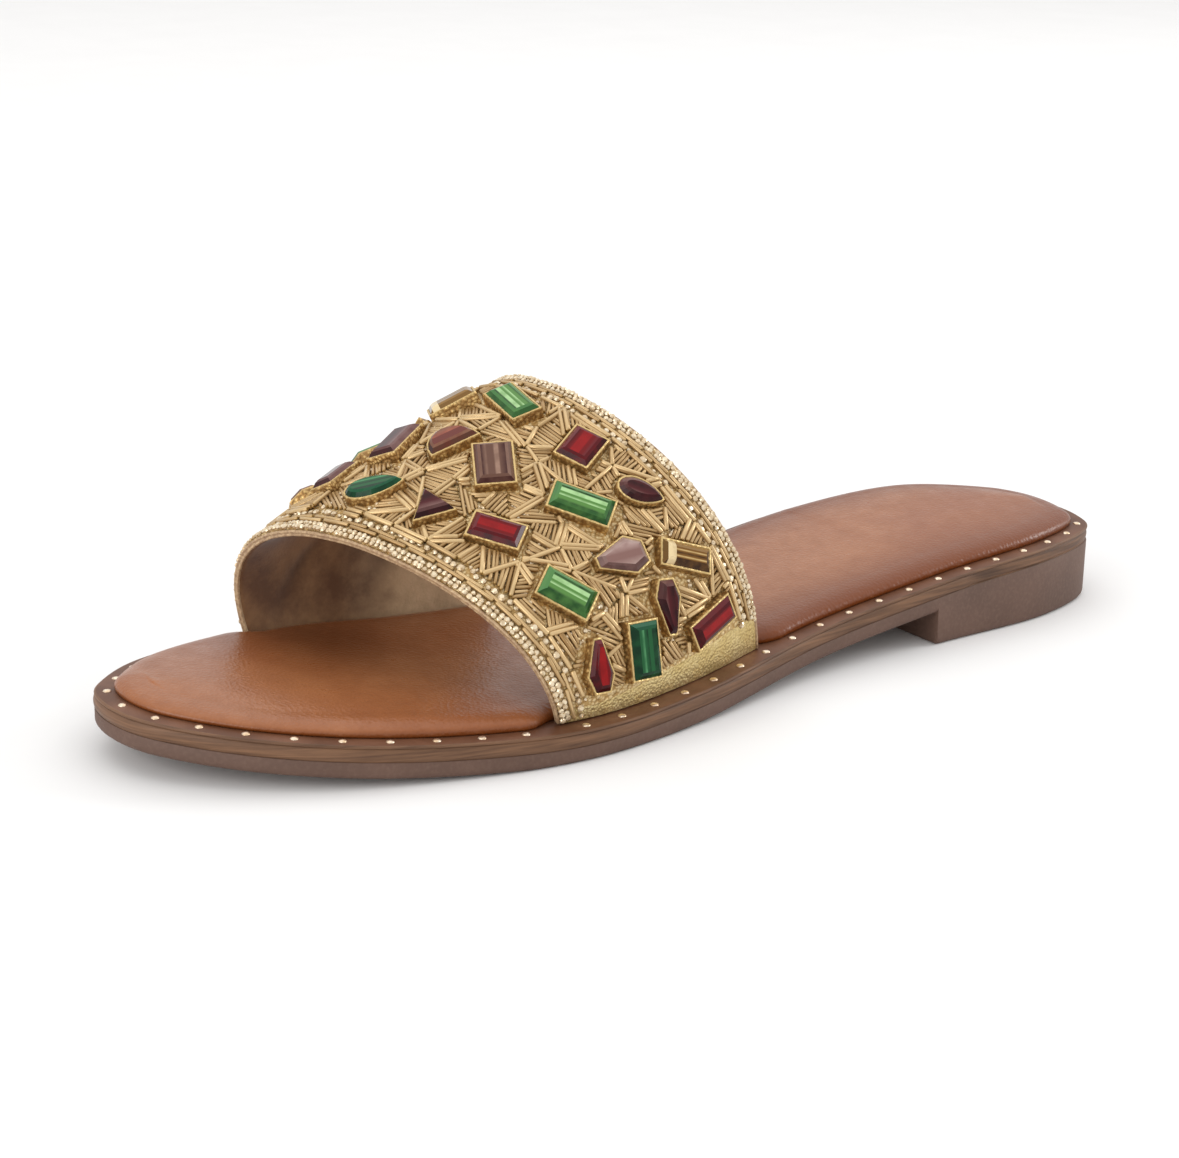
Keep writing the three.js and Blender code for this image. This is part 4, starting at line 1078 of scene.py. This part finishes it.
# Lines that fill the facets, each facet's parallel to one of its sides and a pitch apart, and their lifts
def facetLines(rng, knots, facets):
    side = rng.integers(0, 3, len(facets))
    a, b, c = (knots[facets[np.arange(len(facets)), (side + k) % 3]] for k in range(3))
    cornerA, cornerB, cornerC = (fromFlat(corner) for corner in (a, b, c))
    base = np.linalg.norm(cornerB - cornerA, axis=1)
    deep = np.linalg.norm(np.cross(cornerB - cornerA, cornerC - cornerA), axis=1) / base
    share = (carpet["radius"] + carpet["pitch"] * np.arange(carpet["maxRows"])) / deep[:, None]
    keep = (share < carpet["deepest"]) & (rng.uniform(0, 1, (len(facets), 1)) > carpet["bare"])
    lines = np.stack([(end[:, None] + (c - end)[:, None] * share[..., None])[keep] for end in (a, b)], 1)
    lines = lines + rng.normal(0, carpet["stray"], lines.shape)
    rise = rng.uniform(0, carpet["facetRise"], (len(facets), 1))
    return lines, np.broadcast_to(rise, keep.shape)[keep]


# Lines on the seams between facets, some with a second beside them, and their lifts
def seamLines(rng, knots, facets):
    seams = np.vstack([facets[:, [0, 1]], facets[:, [1, 2]], facets[:, [2, 0]]])
    seams = np.unique(np.sort(seams, 1), axis=0)
    lines = knots[seams[rng.uniform(0, 1, len(seams)) < carpet["seamShare"]]]
    along = unit(lines[:, 1] - lines[:, 0])
    aside = np.stack([-along[:, 1], along[:, 0]], -1)[:, None] * carpet["seamStep"]
    doubled = rng.uniform(0, 1, len(lines)) < carpet["doubled"]
    lines = np.vstack([lines, lines[doubled] + aside[doubled]])
    lines = lines + rng.normal(0, 0.5 * carpet["stray"], lines.shape)
    return lines, carpet["seamLift"] + rng.uniform(0, carpet["seamRise"], len(lines))


# Bead carpet: bugles fill the facets and lie on some of the seams; each is cut to its longest stretch
# inside the field and clear of the stones
def makeCarpet():
    rng = np.random.default_rng(carpet["seed"])
    knots, facets = splitField(rng)
    filling, fillingLift = facetLines(rng, knots, facets)
    seam, seamLift = seamLines(rng, knots, facets)
    lines, lift = np.vstack([filling, seam]), np.concatenate([fillingLift, seamLift])
    onSeam = np.arange(len(lines)) >= len(filling)
    t = np.linspace(0, 1, carpet["samples"])[None, :, None]
    walk = toTurn(lines[:, :1] * (1 - t) + lines[:, 1:] * t)
    low, high = fieldTurn(walk[..., 0])
    clear = ~insideAny(walk, stoneFootprints(setting["rim"] + carpet["clearance"]))
    start, stop = longestRun(clear & (walk[..., 1] > low) & (walk[..., 1] < high))
    whole = fromFlat(lines)
    length = np.linalg.norm(whole[:, 1] - whole[:, 0], axis=1)
    gap = carpet["endGap"] / length
    start, stop = start / (carpet["samples"] - 1) + gap, stop / (carpet["samples"] - 1) - gap
    stop = np.minimum(stop, start + carpet["longest"] / length)
    good = (stop - start) * length > carpet["shortest"]
    lines, lift, onSeam = lines[good], lift[good], onSeam[good]
    cuts = np.stack([start, stop], -1)[good, :, None]
    ends = toTurn(lines[:, :1] * (1 - cuts) + lines[:, 1:] * cuts)
    lift = carpet["ground"] + carpet["bedding"] * carpet["radius"] + lift
    radius = np.where(onSeam, carpet["seamRadius"], carpet["radius"])
    radius = radius * rng.uniform(*carpet["radiusSpread"], len(ends))
    tint = np.where(onSeam, carpet["seamTint"], carpet["tint"])
    layBugles("bugleCarpet", ends, lift, radius, rng, tint)
    scatterSeeds(rng)


# Seed crystals at random over the field, clear of the stones
def scatterSeeds(rng):
    low, high = np.stack([carpet["shares"], seeds["turns"]], -1)
    spots = rng.uniform(low, high, (seeds["count"], 2))
    low, high = fieldTurn(spots[:, 0])
    clear = ~insideAny(spots, stoneFootprints(setting["rim"] + seeds["clearance"]))
    spots = spots[clear & (spots[:, 1] > low + seeds["margin"]) & (spots[:, 1] < high - seeds["margin"])]
    sizes = rng.uniform(*seeds["sizes"], len(spots))
    layCrystals("seedCrystals", spots[:, 0], spots[:, 1], seeds["lift"], sizes, rng)


ground = {"shares": (0.008, 0.992), "rows": 41, "columns": 121, "turnShare": 0.85, "seat": 0.02, "rim": 3,
          "slope": 3}


# Ground of the beadwork: a thin plate on the shell, its lower line rising from front to rear, and lower
# under the trims
def makeGround():
    share = np.linspace(*ground["shares"], ground["rows"])[:, None]
    low = ground["turnShare"] * fieldTurn(share)[0]
    turn = low + 2 * (1 - low) * np.linspace(0, 1, ground["columns"])
    fromRim = np.minimum(share, 1 - share) * band["length"]
    raised = np.clip((fromRim - ground["rim"]) / ground["slope"], 0, 1)
    lift = trims["ground"] + (carpet["ground"] - trims["ground"]) * raised
    points, faceSets = platePoints(share, turn, ground["seat"], lift)
    piece = buildPiece("beadGround", points, faceSets, giltGround(), sharpAngle=50)
    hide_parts("bead_field")


# Seamless paper: plain white
def studioPaper():
    material, tree, at = startMaterial("studioPaper", rough=0.9, specular=0.1)
    fibre = addNode(tree, "TexNoise", {"Scale": patternScale(40), "Detail": 2, "Vector": at})
    return finishMaterial(material, blend(tree, fibre, "#ebeae9", "#efeeed"))


studio = {"floorReach": 6.0, "floorSteps": 9, "target": (-4.30, -10.95, 20.0), "distance": 590,
          "azimuth": 55.0, "elevation": 17.72, "roll": 1.154, "lens": 81.3, "sensor": 36, "nearest": 0.01,
          "sky": 0.86,
          "lights": (("backKey", (-0.38, 0.36, 1.4), 2.4, 9.6), ("rearSide", (0.45, 1.5, 0.6), 0.6, 8.0),
                     ("frontFill", (0.3, -1.35, 0.4), 1.3, 12.0))}


# Studio: a flat white floor under a white sky, soft lights turned to the middle, and the photo's camera
def makeStudio():
    reach, count = studio["floorReach"], studio["floorSteps"]
    steps = np.linspace(-reach, reach, count)
    x, y = np.meshgrid(steps, steps, indexing="ij")
    points = np.stack([x, y, np.zeros_like(x)], -1).reshape(-1, 3)
    mesh = bpy.data.meshes.new("studioFloor")
    mesh.from_pydata(points.tolist(), [], gridFaces(count, count)[:, ::-1].tolist())
    mesh.materials.append(studioPaper())
    floor = bpy.data.objects.new("studioFloor", mesh)
    bpy.context.scene.collection.objects.link(floor)
    world = bpy.data.worlds.new("softRoom")
    world.use_nodes = True
    sky = world.node_tree.nodes["Background"].inputs
    sky["Color"].default_value = linear("#ffffff")
    sky["Strength"].default_value = studio["sky"]
    bpy.context.scene.world = world
    for name, spot, size, power in studio["lights"]:
        lamp = bpy.data.lights.new(name, "AREA")
        lamp.size, lamp.energy = size, power
        holder = bpy.data.objects.new(name, lamp)
        holder.location = spot
        holder.rotation_euler = (-Vector(spot)).to_track_quat("-Z", "Y").to_euler()
        bpy.context.scene.collection.objects.link(holder)
    azimuth, elevation, roll = (math.radians(studio[key]) for key in ("azimuth", "elevation", "roll"))
    back = Vector((math.sin(azimuth) * math.cos(elevation), -math.cos(azimuth) * math.cos(elevation),
                   math.sin(elevation)))
    level = (-back).cross(Vector((0, 0, 1))).normalized()
    rise = level.cross(-back)
    right = level * math.cos(roll) + rise * math.sin(roll)
    up = rise * math.cos(roll) - level * math.sin(roll)
    lens = bpy.data.cameras.new("photoCamera")
    lens.lens, lens.sensor_width, lens.sensor_fit = studio["lens"], studio["sensor"], "HORIZONTAL"
    lens.clip_start = studio["nearest"]
    camera = bpy.data.objects.new("photoCamera", lens)
    turned = Matrix((right, up, back)).transposed().to_4x4()
    eye = (Vector(studio["target"]) + back * studio["distance"]) * metresPerMm
    camera.matrix_world = Matrix.Translation(eye) @ turned
    bpy.context.scene.collection.objects.link(camera)
    bpy.context.scene.camera = camera
    bpy.context.scene.view_settings.view_transform = "Standard"
    print("studio ready")


makeStudio()
makeOutsole()
makeWelt()
makeStuds()
makeInsole()
makeShell()
makeTurnedEdges()
makeGround()
makeCarpet()
makeTrim("frontTrim", "front_trim", 0, 21)
makeTrim("rearTrim", "rear_trim", 1, 22)
makeStones()
